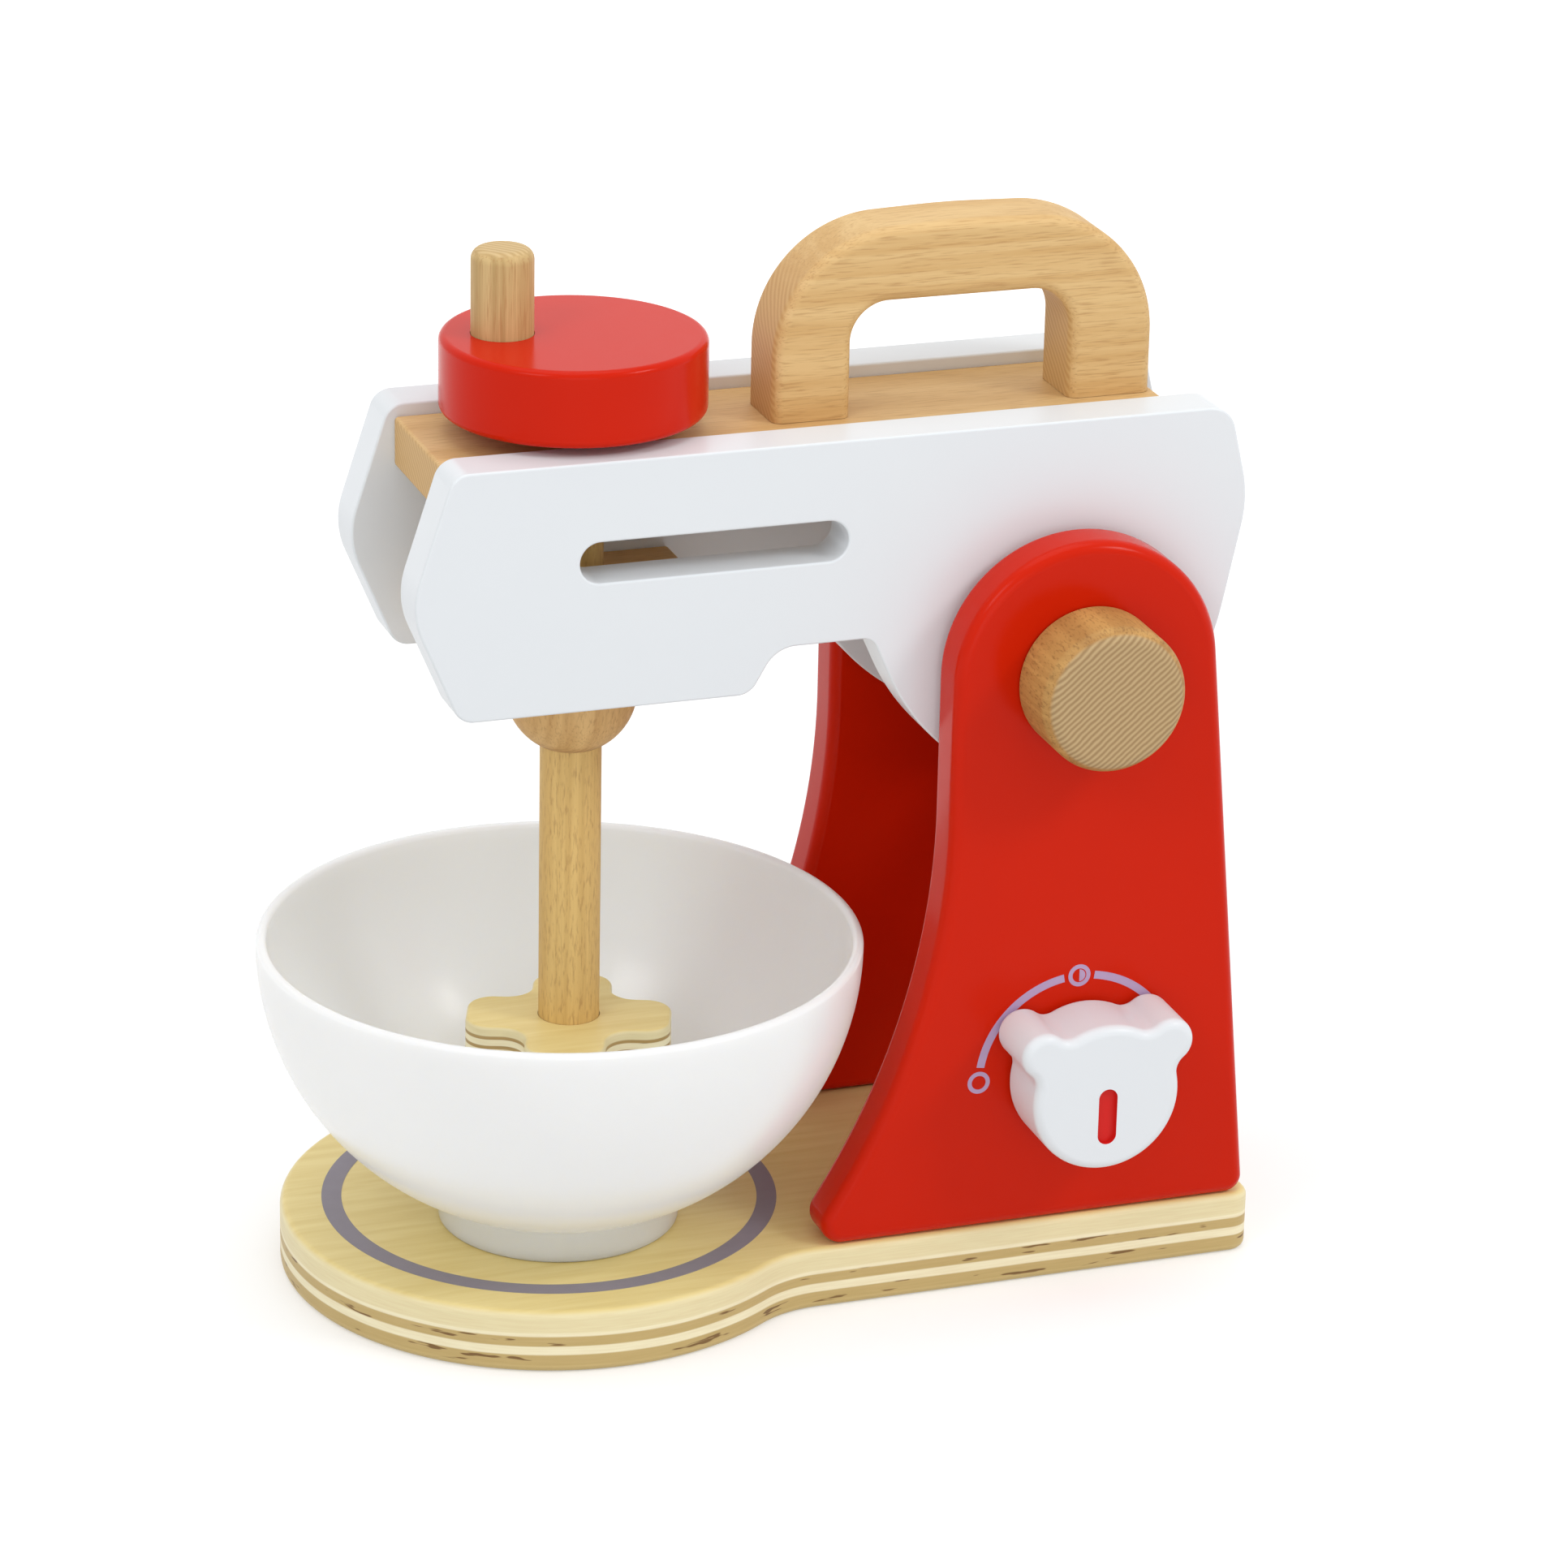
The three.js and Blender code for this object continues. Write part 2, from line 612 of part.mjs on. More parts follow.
function dialScrew() {
  const seat = STAND_INNER - TURNING_GAP - DIAL_WASHER_THICKNESS - GLUE_LINE;
  const tip = STAND_OUTER + TURNING_GAP + DIAL_SCREW_DEPTH;
  const profile = profilePoints([
    [0, seat - DIAL_SCREW_HEAD],
    [SCREW_HEAD_RADIUS, seat - DIAL_SCREW_HEAD],
    [SCREW_HEAD_RADIUS, seat],
    [SCREW_RADIUS, seat],
    [SCREW_RADIUS, tip - SCREW_RADIUS],
    [0, tip],
  ]);
  return piece('dial_screw', solidOf(turnedOutward(profile, -1)), 'screwSteel');
}

function dial() {
  const group = new THREE.Group();
  group.position.set(DIAL_X, 0, DIAL_HEIGHT);
  group.add(placed(dialKnob(), 0, -(STAND_OUTER + TURNING_GAP + DIAL_THICKNESS / 2), 0));
  group.add(dialWasher(), dialScrew());
  return group;
}

// Head

const HANDLE_FRONT = DISC_RADIUS + HANDLE_BEHIND_DISC;
const HANDLE_REAR = AXLE_REACH + HANDLE_BEHIND;
const HANDLE_FOOT = PLATE_TOP + GLUE_LINE;
const HANDLE_SCREWS = [
  { name: 'front', x: HANDLE_FRONT + HANDLE_FRONT_LEG / 2 },
  { name: 'rear', x: HANDLE_REAR - HANDLE_REAR_LEG / 2 },
];
const PLATE_PINS = [
  { name: 'front', x: PLATE_PIN_INSET - PLATE_AHEAD },
  { name: 'rear', x: AXLE_REACH + PLATE_BEHIND - PLATE_PIN_INSET },
];
const PLATE_PIN_HEIGHT = PLATE_TOP - PLATE_THICKNESS / 2;
const BLOCK_PIN_HEIGHT = BLOCK_BOTTOM + BLOCK_THICKNESS / 2;

// From the brow down the nose, under the chin, up the step to the throat, round the belly to the
// heel, and up the tail to the crown
function headOutline() {
  const chin = AXLE_HEIGHT - CHIN_DROP;
  const throat = AXLE_HEIGHT + THROAT_RISE;
  return roundedOutline([
    [-BROW_AHEAD, HEAD_TOP, BROW_RADIUS],
    [-NOSE_AHEAD, AXLE_HEIGHT + NOSE_RISE, NOSE_RADIUS],
    [-CHIN_AHEAD, chin, CHIN_RADIUS],
    [STEP_FOOT_BEHIND, chin, STEP_FOOT_RADIUS],
    [STEP_FOOT_BEHIND + STEP_LENGTH, throat, STEP_TOP_RADIUS],
    [AXLE_REACH - THROAT_AHEAD, throat, THROAT_RADIUS],
    [AXLE_REACH - BELLY_AHEAD, AXLE_HEIGHT - BELLY_DROP, BELLY_RADIUS],
    [HEEL.x, HEEL.y, HEEL_RADIUS],
    [TAIL.x, TAIL.y, TAIL_RADIUS],
    [AXLE_REACH + RUMP_BEHIND, AXLE_HEIGHT + RUMP_RISE, RUMP_RADIUS],
    [AXLE_REACH + CROWN_BEHIND, HEAD_TOP, CROWN_RADIUS],
  ]);
}

function headPanel({ name, sign }) {
  const slot = slotOutline(
    SLOT_LENGTH / 2 - SLOT_AHEAD, AXLE_HEIGHT + SLOT_RISE, SLOT_LENGTH, SLOT_HEIGHT).reverse();
  const plank = standingBoard(headOutline(), HEAD_PANEL_THICKNESS, HEAD_EDGE, slot);
  const innerFace = -sign * HEAD_PANEL_THICKNESS / 2;
  const reach = HEAD_PANEL_THICKNESS / 2 + CUT_OVERRUN;
  const tools = [
    crossRod(DOWEL_RADIUS + PRESS_CLEARANCE, -reach, reach).translate(AXLE_REACH, 0, AXLE_HEIGHT),
    ...PLATE_PINS.map(({ x }) => pinInPanel(sign).translate(x, innerFace, PLATE_PIN_HEIGHT)),
    pinInPanel(sign).translate(BLOCK_PIN_BEHIND, innerFace, BLOCK_PIN_HEIGHT),
  ];
  const centreOut = (HEAD_GAP + HEAD_PANEL_THICKNESS) / 2;
  return placed(piece(`head_panel_${name}`, cut(plank, tools), 'whiteEnamel'), 0, sign * centreOut, 0);
}

function topPlate() {
  const outline = roundedRectangle(
    -PLATE_AHEAD, AXLE_REACH + PLATE_BEHIND, -HALF_LAP, HALF_LAP, CROSS_CORNER_RADIUS);
  const tools = [
    uprightRod(DOWEL_RADIUS + TURNING_CLEARANCE, -CUT_OVERRUN, PLATE_THICKNESS + CUT_OVERRUN),
    ...HANDLE_SCREWS.map(({ x }) => countersunkHole(PLATE_THICKNESS).translate(x, 0, 0)),
    ...SIDES.flatMap(({ sign }) => PLATE_PINS.map(({ x }) =>
      pinInCrossPiece(sign, HALF_LAP).translate(x, 0, PLATE_THICKNESS / 2))),
  ];
  const plate = board(outline, PLATE_THICKNESS, CROSS_EDGE);
  return placed(piece('top_plate', cut(plate, tools), 'beech'), 0, 0, PLATE_BOTTOM);
}

function bearingBlock() {
  const outline = roundedRectangle(
    -BLOCK_HALF_LENGTH, BLOCK_HALF_LENGTH, -HALF_LAP, HALF_LAP, CROSS_CORNER_RADIUS);
  const tools = [
    uprightRod(DOWEL_RADIUS + TURNING_CLEARANCE, -CUT_OVERRUN, BLOCK_THICKNESS + CUT_OVERRUN),
    ...SIDES.map(({ sign }) =>
      pinInCrossPiece(sign, HALF_LAP).translate(BLOCK_PIN_BEHIND, 0, BLOCK_THICKNESS / 2)),
  ];
  const block = board(outline, BLOCK_THICKNESS, CROSS_EDGE);
  return placed(piece('bearing_block', cut(block, tools), 'beech'), 0, 0, BLOCK_BOTTOM);
}

// The bow is rounded over all along, and its crown curves over a share of the run between the
// shoulders, then its feet are sawn off square where they meet the plate
function carryHandle() {
  const foot = HANDLE_FOOT - HANDLE_EDGE;
  const shoulder = PLATE_TOP + HANDLE_RISE;
  const crown = shoulder + HANDLE_CROWN;
  const grip = crown - HANDLE_BAR;
  const middle = (HANDLE_FRONT + HANDLE_REAR) / 2;
  const slope = Math.atan(HANDLE_CROWN / (middle - HANDLE_FRONT));
  const shoulderReach = HANDLE_SHOULDER_RADIUS * Math.tan((Math.PI / 2 - slope) / 2);
  const crownReach = HANDLE_CROWN_SHARE * (middle - HANDLE_FRONT - shoulderReach);
  const frontLegBack = HANDLE_FRONT + HANDLE_FRONT_LEG;
  const rearLegFront = HANDLE_REAR - HANDLE_REAR_LEG;
  const outline = roundedOutline([
    [HANDLE_FRONT, foot, 0],
    [frontLegBack, foot, 0],
    [frontLegBack, grip, HANDLE_GRIP_RADIUS],
    [rearLegFront, grip, HANDLE_GRIP_RADIUS],
    [rearLegFront, foot, 0],
    [HANDLE_REAR, foot, 0],
    [HANDLE_REAR, shoulder, HANDLE_SHOULDER_RADIUS],
    [middle, crown, crownReach / Math.tan(slope)],
    [HANDLE_FRONT, shoulder, HANDLE_SHOULDER_RADIUS],
  ]);
  const length = HANDLE_REAR - HANDLE_FRONT + 2 * CUT_OVERRUN;
  const depth = HANDLE_EDGE + CUT_OVERRUN;
  const saw = new THREE.BoxGeometry(length, HANDLE_WIDTH + 2 * CUT_OVERRUN, depth);
  const tools = [
    saw.translate(middle, 0, HANDLE_FOOT - depth / 2),
    ...HANDLE_SCREWS.map(({ x }) => pilotHole().translate(x, 0, PLATE_TOP)),
  ];
  return piece('carry_handle', cut(standingBoard(outline, HANDLE_WIDTH, HANDLE_EDGE), tools), 'beech');
}

function handleScrews() {
  return HANDLE_SCREWS.map(({ name, x }) => {
    const mesh = piece(`handle_screw_${name}`, screwThrough(PLATE_THICKNESS), 'screwSteel');
    return placed(mesh, x, 0, PLATE_BOTTOM + SCREW_SINK);
  });
}

function headPins() {
  return SIDES.flatMap(({ name, sign }) => [
    ...PLATE_PINS.map((place) =>
      pin(`plate_dowel_${place.name}_${name}`, sign, HEAD_GAP / 2, place.x, PLATE_PIN_HEIGHT)),
    pin(`block_dowel_${name}`, sign, HEAD_GAP / 2, BLOCK_PIN_BEHIND, BLOCK_PIN_HEIGHT),
  ]);
}

// Tilt axle, glued into the head panels and the knobs, and turning in the stand panels

function tiltAxle() {
  const endOut = STAND_OUTER + TURNING_GAP + KNOB_SEAT;
  return piece('tilt_axle', solidOf(crossRod(DOWEL_RADIUS, -endOut, endOut)), 'dowel');
}

function axleKnob({ name, sign }) {
  const profile = [
    ...profilePoints([[0, 0], [KNOB_RADIUS, 0]]),
    ...arcPoints(KNOB_RADIUS - KNOB_EDGE, KNOB_LENGTH - KNOB_EDGE, KNOB_EDGE, 0, Math.PI / 2),
    ...profilePoints([[0, KNOB_LENGTH]]),
  ];
  const bore = sideRod(DOWEL_RADIUS + PRESS_CLEARANCE, sign, -CUT_OVERRUN, KNOB_SEAT + BORE_END_GAP);
  const knob = piece(`axle_knob_${name}`, cut(turnedOutward(profile, sign), [bore]), 'beech');
  return placed(knob, 0, sign * (STAND_OUTER + TURNING_GAP), 0);
}

function axleWasher({ name, sign }) {
  const inFace = HEAD_OUTER + TURNING_GAP;
  const outFace = STAND_INNER - TURNING_GAP;
  const bore = sideRod(
    DOWEL_RADIUS + TURNING_CLEARANCE, sign, inFace - CUT_OVERRUN, outFace + CUT_OVERRUN);
  const ring = sideRod(WASHER_RADIUS, sign, inFace, outFace);
  return piece(`axle_washer_${name}`, cut(ring, [bore]), 'beech');
}

function axleSet() {
  const group = new THREE.Group();
  group.position.set(AXLE_REACH, 0, AXLE_HEIGHT);
  group.add(tiltAxle(), ...SIDES.map(axleKnob), ...SIDES.map(axleWasher));
  return group;
}

// Crank and beater, one turning set on the shaft

const DISC_TOP = DISC_BOTTOM + DISC_THICKNESS;

function crankDisc() {
  const inset = DISC_RADIUS - DISC_EDGE;
  const profile = [
    ...profilePoints([[0, 0]]),
    ...arcPoints(inset, DISC_EDGE, DISC_EDGE, -Math.PI / 2, 0),
    ...arcPoints(inset, DISC_THICKNESS - DISC_EDGE, DISC_EDGE, 0, Math.PI / 2),
    ...profilePoints([[0, DISC_THICKNESS]]),
  ];
  const pegBoreBottom = DISC_THICKNESS - PEG_SEAT - BORE_END_GAP;
  const pegBore = uprightRod(DOWEL_RADIUS + PRESS_CLEARANCE, pegBoreBottom, DISC_THICKNESS + CUT_OVERRUN);
  const tools = [
    uprightRod(DOWEL_RADIUS + PRESS_CLEARANCE, -CUT_OVERRUN, DISC_SHAFT_SEAT + BORE_END_GAP),
    pegBore.translate(-PEG_OFFSET, 0, 0),
  ];
  return placed(piece('crank_disc', cut(turned(profile), tools), 'redEnamel'), 0, 0, DISC_BOTTOM);
}

function crankPeg() {
  const length = PEG_SEAT + PEG_RISE;
  const profile = [
    ...profilePoints([[0, 0], [DOWEL_RADIUS, 0]]),
    ...arcPoints(DOWEL_RADIUS - PEG_CROWN, length - PEG_CROWN, PEG_CROWN, 0, Math.PI / 2),
    ...profilePoints([[0, length]]),
  ];
  return placed(piece('crank_peg', solidOf(turned(profile)), 'dowel'), -PEG_OFFSET, 0, DISC_TOP - PEG_SEAT);
}

function discSpacer() {
  const bore = uprightRod(DOWEL_RADIUS + PRESS_CLEARANCE, -CUT_OVERRUN, DISC_SPACER_HEIGHT + CUT_OVERRUN);
  const ring = uprightRod(DISC_SPACER_RADIUS, 0, DISC_SPACER_HEIGHT);
  return placed(piece('disc_spacer', cut(ring, [bore]), 'beech'), 0, 0, SPACER_BOTTOM);
}

function beaterShaft() {
  const rod = uprightRod(DOWEL_RADIUS, BEATER_TOP - BEATER_SEAT, DISC_BOTTOM + DISC_SHAFT_SEAT);
  return piece('beater_shaft', solidOf(rod), 'dowel');
}

// A ball sawn flat above its middle and bored for the shaft
function shaftCollar() {
  const sawnAngle = Math.asin(COLLAR_FLAT_RISE / COLLAR_RADIUS);
  const profile = [
    ...arcPoints(0, 0, COLLAR_RADIUS, -Math.PI / 2, sawnAngle),
    ...profilePoints([[0, COLLAR_FLAT_RISE]]),
  ];
  const reach = COLLAR_RADIUS + CUT_OVERRUN;
  const bore = uprightRod(DOWEL_RADIUS + PRESS_CLEARANCE, -reach, reach);
  const height = BLOCK_BOTTOM - TURNING_GAP - COLLAR_FLAT_RISE;
  return placed(piece('shaft_collar', cut(turned(profile), [bore]), 'beech'), 0, 0, height);
}

function beaterCross() {
  const quarter = [
    [BEATER_ARM_REACH, -BEATER_ARM_HALF_WIDTH, BEATER_TIP_RADIUS],
    [BEATER_ARM_REACH, BEATER_ARM_HALF_WIDTH, BEATER_TIP_RADIUS],
    [BEATER_ARM_HALF_WIDTH, BEATER_ARM_HALF_WIDTH, BEATER_NOTCH_RADIUS],
  ];
  const turns = [[1, 0], [0, 1], [-1, 0], [0, -1]];
  const outline = roundedOutline(turns.flatMap(([cosine, sine]) =>
    quarter.map(([x, y, radius]) => [x * cosine - y * sine, x * sine + y * cosine, radius])));
  const boreBottom = BEATER_THICKNESS - BEATER_SEAT - BORE_END_GAP;
  const bore = uprightRod(DOWEL_RADIUS + PRESS_CLEARANCE, boreBottom, BEATER_THICKNESS + CUT_OVERRUN);
  const cross = cut(board(outline, BEATER_THICKNESS, BEATER_EDGE), [bore]);
  const mesh = placed(piece('beater_cross', cross, 'birchPly'), 0, 0, BEATER_TOP - BEATER_THICKNESS);
  mesh.rotation.z = BEATER_TURN;
  return mesh;
}

function crank() {
  const group = new THREE.Group();
  group.rotation.z = CRANK_TURN;
  group.add(crankDisc(), crankPeg(), discSpacer(), beaterShaft(), shaftCollar(), beaterCross());
  return group;
}

// Bowl: one arc swells outside from the top of the foot, another inside from the floor, both stand
// upright at the rim, where a round lip joins them, and the foot is a hollow ring

// The arc that is upright at one radius and passes through another lower down
function swellingCurve(rimRadius, lowRadius, rise) {
  const reach = rimRadius - lowRadius;
  const radius = (reach ** 2 + rise ** 2) / (2 * reach);
  return { centre: rimRadius - radius, radius, lowAngle: -Math.asin(rise / radius) };
}

function mixingBowl() {
  const springHeight = BOWL_HEIGHT - BOWL_WALL / 2;
  const outer = swellingCurve(BOWL_RIM_RADIUS, BOWL_SWELL_RADIUS, springHeight - BOWL_FOOT_HEIGHT);
  const inner = swellingCurve(
    BOWL_RIM_RADIUS - BOWL_WALL, BOWL_SWELL_RADIUS - BOWL_FLOOR_INSET, springHeight - BOWL_FLOOR_HEIGHT);
  const lip = arcPoints(BOWL_RIM_RADIUS - BOWL_WALL / 2, springHeight, BOWL_WALL / 2, 0, Math.PI);
  const profile = [
    ...profilePoints([
      [0, BOWL_FOOT_RECESS],
      [BOWL_FOOT_RADIUS - BOWL_FOOT_WALL, BOWL_FOOT_RECESS],
      [BOWL_FOOT_RADIUS - BOWL_FOOT_WALL, 0],
      [BOWL_FOOT_RADIUS, 0],
      [BOWL_FOOT_RADIUS, BOWL_FOOT_HEIGHT],
    ]),
    ...arcPoints(outer.centre, springHeight, outer.radius, outer.lowAngle, 0),
    ...lip.slice(1, -1),
    ...arcPoints(inner.centre, springHeight, inner.radius, 0, inner.lowAngle),
    ...profilePoints([[0, BOWL_FLOOR_HEIGHT]]),
  ];
  const bowl = piece('mixing_bowl', solidOf(turned(profile)), 'bowlWhite');
  return placed(bowl, -BOWL_AHEAD, -BOWL_NEAR, BASE_THICKNESS + GLUE_LINE);
}

// Assembly

function stand() {
  const group = new THREE.Group();
  group.add(baseBoard(), ...baseScrews(), ...SIDES.map(standPanel), backBlock(), ...backPins(), dial());
  return group;
}

function head() {
  const group = new THREE.Group();
  group.add(...SIDES.map(headPanel), topPlate(), bearingBlock(), carryHandle());
  group.add(...handleScrews(), ...headPins(), axleSet(), crank());
  return group;
}

const mixer = new THREE.Group();
mixer.add(stand(), head(), mixingBowl());

export default mixer;
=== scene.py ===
# %% [markdown]
# # Dressing a wooden toy stand mixer
#
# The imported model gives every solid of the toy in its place, in metres: the floor is at Z 0, the
# beater shaft stands on the Z axis, +X runs from the bowl back to the stand, and -Y is the near
# side. This lesson models each visible piece again with finer edges, gives it the finish of the
# real one, and hands it to the body that it moves with.

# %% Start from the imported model
import math
import bpy
from mathutils import Matrix, Vector


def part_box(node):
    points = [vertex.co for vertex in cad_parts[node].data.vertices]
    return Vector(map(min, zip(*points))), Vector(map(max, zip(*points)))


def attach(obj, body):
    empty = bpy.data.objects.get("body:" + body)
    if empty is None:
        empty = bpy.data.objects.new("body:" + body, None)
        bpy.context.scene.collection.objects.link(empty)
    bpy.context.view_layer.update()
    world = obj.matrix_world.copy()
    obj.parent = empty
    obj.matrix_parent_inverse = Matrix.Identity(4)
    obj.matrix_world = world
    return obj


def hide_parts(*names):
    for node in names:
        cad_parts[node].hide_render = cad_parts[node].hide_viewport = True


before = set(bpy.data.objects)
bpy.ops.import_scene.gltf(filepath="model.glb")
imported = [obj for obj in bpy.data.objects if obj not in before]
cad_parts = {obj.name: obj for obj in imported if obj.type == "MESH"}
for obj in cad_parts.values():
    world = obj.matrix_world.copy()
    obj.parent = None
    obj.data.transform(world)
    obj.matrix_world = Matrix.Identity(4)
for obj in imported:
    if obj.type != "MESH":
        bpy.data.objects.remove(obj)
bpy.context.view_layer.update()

MM = 0.001

# %% [markdown]
# ## Drawing with a pen
#
# Most of this toy is board that was sawn to an outline. A curve object could draw it, but a pen
# made of mesh operators keeps to straight lines and true arcs, as a workshop drawing does: one
# vertex is extruded for a straight stroke, and spun about a centre for an arc.

# %% Places in millimetres, and the pen
FLAT_PLANES = {
    # plane: how a drawn point lies in space, and the axis that its arcs are spun about
    "standing": (lambda across, up, level: Vector((across, level, up)), (0, 1, 0)),
    "lying": (lambda across, along, level: Vector((across, along, level)), (0, 0, -1)),
}
FINEST_SAG = 0.008


def on_circle(centre, radius, degrees):
    """The point of a circle at so many degrees, counted from across towards up."""
    return Vector(centre) + Matrix.Rotation(math.radians(degrees), 2) @ Vector((radius, 0))


def arc_steps(radius, degrees):
    """Enough steps that no facet lies further from the arc than the finest sag."""
    step = 2 * math.acos(1 - FINEST_SAG / max(radius, 0.5))
    return max(3, math.ceil(abs(math.radians(degrees)) / step))


def draw_path(name, strokes, plane, level):
    """Draw strokes: ("to", point) is a straight one, ("about", centre, degrees) an arc."""
    place, axis = FLAT_PLANES[plane]
    pen = Vector(strokes[0][1])
    bpy.ops.mesh.primitive_plane_add(size=MM, location=place(*pen, level) * MM)
    piece = bpy.context.object
    piece.name = name
    bpy.ops.object.mode_set(mode='EDIT')
    bpy.ops.mesh.select_mode(type='VERT')
    bpy.ops.mesh.select_all(action='SELECT')
    bpy.ops.mesh.merge(type='CENTER')
    for kind, target, *turn in strokes[1:]:
        target = Vector(target)
        if kind == "to":
            step = place(*target, 0) - place(*pen, 0)
            bpy.ops.mesh.extrude_region_move(TRANSFORM_OT_translate={"value": step * MM})
            pen = target
        else:
            degrees = turn[0]
            bpy.ops.mesh.spin(
                steps=arc_steps((pen - target).length, degrees), angle=math.radians(degrees),
                center=place(*target, level) * MM, axis=axis)
            pen = target + Matrix.Rotation(math.radians(degrees), 2) @ (pen - target)
    return piece


print("steps in a half turn of 30 mm radius:", arc_steps(30, 180))

# %% [markdown]
# Where an outline has corners, it is easier to say where each corner would be and how round it is.
# A corner's arc touches both sides, and its centre lies on the line that halves the corner.

# %% Rounded corners, and slots with round ends
def rounded_corners(corners):
    """The strokes round a closed outline of (across, up, radius) corners."""
    strokes = []
    for i, (across, up, radius) in enumerate(corners):
        here = Vector((across, up))
        back = (Vector(corners[i - 1][:2]) - here).normalized()
        on = (Vector(corners[(i + 1) % len(corners)][:2]) - here).normalized()
        half_angle = back.angle(on) / 2
        turn = math.degrees(math.pi - 2 * half_angle)
        if back.cross(on) > 0:
            turn = -turn
        if radius == 0:
            strokes.append(("to", here))
            continue
        strokes.append(("to", here + back * radius / math.tan(half_angle)))
        inward = (back + on).normalized()
        strokes.append(("about", here + inward * radius / math.sin(half_angle), turn))
    return strokes


def round_ended(start, end, radius):
    """The strokes round a slot, between the centres of its two round ends."""
    start, end = Vector(start), Vector(end)
    along = (end - start).normalized()
    side = Vector((along.y, -along.x)) * radius
    return [("to", start + side), ("to", end + side), ("about", end, 180),
            ("to", start - side), ("about", start, 180)]


print("strokes of a square with round corners:", len(rounded_corners(
    [(0, 0, 1), (9, 0, 1), (9, 9, 1), (0, 9, 1)])))

# %% [markdown]
# ## From an outline to a board
#
# A closed outline is filled with one face and pulled out to the board's thickness. The saw leaves
# sharp edges, which a sander then rounds over. A Bevel modifier does the sander's work, because it
# takes every edge that is sharper than a given angle and leaves the small steps of the arcs alone.

# %% Sawing a board
def settle():
    """Put the place, turn and size of the selected piece into its mesh."""
    bpy.ops.object.transform_apply(location=True, rotation=True, scale=True)


def added(name):
    """The piece that an operator has just added, named and settled."""
    piece = bpy.context.object
    piece.name = name
    settle()
    return piece


def face_outwards():
    """Turn all faces of the piece being edited outwards, and leave edit mode."""
    bpy.ops.mesh.select_all(action='SELECT')
    bpy.ops.mesh.normals_make_consistent(inside=False)
    bpy.ops.object.mode_set(mode='OBJECT')
    settle()


def sawn_board(name, strokes, plane, level, thickness):
    """Fill a drawn outline and pull it out to a board, from its level towards +Y or +Z."""
    place, _ = FLAT_PLANES[plane]
    piece = draw_path(name, strokes + [("to", strokes[0][1])], plane, level)
    bpy.ops.mesh.select_all(action='SELECT')
    bpy.ops.mesh.remove_doubles(threshold=0.002 * MM)
    bpy.ops.mesh.edge_face_add()
    pull = place(0, 0, thickness) * MM
    bpy.ops.mesh.extrude_region_move(TRANSFORM_OT_translate={"value": pull})
    face_outwards()
    return piece


# %% Rounding the edges with a modifier, applied at once
def pick(piece):
    """Select one piece alone, ready for an operator."""
    bpy.ops.object.select_all(action='DESELECT')
    piece.select_set(True)
    bpy.context.view_layer.objects.active = piece


def work(piece, kind, **settings):
    """Add a modifier with its settings and apply it at once."""
    pick(piece)
    bpy.ops.object.modifier_add(type=kind)
    modifier = piece.modifiers[-1]
    for name, value in settings.items():
        setattr(modifier, name, value)
    bpy.ops.object.modifier_apply(modifier=modifier.name)


def round_over(piece, radius, segments=5, sharper_than=40):
    """Sand every sharp edge round."""
    work(piece, 'BEVEL', width=radius * MM, segments=segments, limit_method='ANGLE',
         angle_limit=math.radians(sharper_than), miter_outer='MITER_ARC')


# %% [markdown]
# A straight saw cut is a bisection of the mesh. A drill is a round bar that is taken out of the
# piece by a Boolean modifier, and the same bar is the start of every piece that came off a lathe.
# A slot is cut in the same way, by a sawn board. Drills and cutters run some way past the faces.

# %% Sawing off, cutting and drilling
def saw_off(piece, height, above):
    """Saw a piece off level at a height, and drop what is above or below it."""
    pick(piece)
    bpy.ops.object.mode_set(mode='EDIT')
    bpy.ops.mesh.select_all(action='SELECT')
    bpy.ops.mesh.bisect(plane_co=(0, 0, height * MM), plane_no=(0, 0, 1), use_fill=True,
                        clear_outer=above, clear_inner=not above)
    bpy.ops.object.mode_set(mode='OBJECT')


def cut_away(piece, tool):
    """Take the tool's shape out of a piece, and put the tool away."""
    work(piece, 'BOOLEAN', operation='DIFFERENCE', solver='EXACT', object=tool)
    bpy.data.objects.remove(tool)


def round_bar(name, radius, start, end, sides=96):
    """A round bar from one point to another, in millimetres."""
    start, end = Vector(start) * MM, Vector(end) * MM
    bpy.ops.mesh.primitive_cylinder_add(
        vertices=sides, radius=radius * MM, depth=(end - start).length,
        location=(start + end) / 2, rotation=(end - start).to_track_quat('Z', 'Y').to_euler())
    return added(name)


def drill(piece, radius, start, end):
    """Bore a round hole into a piece, from one point to another."""
    cut_away(piece, round_bar("drill", radius, start, end, sides=64))


DOWEL, GLUED_BORE, TURNING_BORE, PAST = 7, 7.15, 7.4, 2
print("a dowel has", TURNING_BORE - DOWEL, "mm of room where it turns")

# %% [markdown]
# ## Handing a piece over
#
# A finished piece is smooth where its faces nearly line up and sharp where they don't. Weighted
# normals keep the large faces flat up to the start of their rounding. Then the piece is told which
# body it rides on, which solid it stands for, and whose finish it takes.

# %% Smoothing, dressing and handing over
def smooth(piece, angle=35):
    """Shade a piece smooth, but for edges sharper than the angle."""
    pick(piece)
    bpy.ops.object.shade_smooth_by_angle(angle=math.radians(angle))
    work(piece, 'WEIGHTED_NORMAL', keep_sharp=True, weight=80)


def dress(piece, material, *more):
    """Give a piece its finish in place of any it had."""
    piece.data.materials.clear()
    for finish in (material, *more):
        piece.data.materials.append(finish)


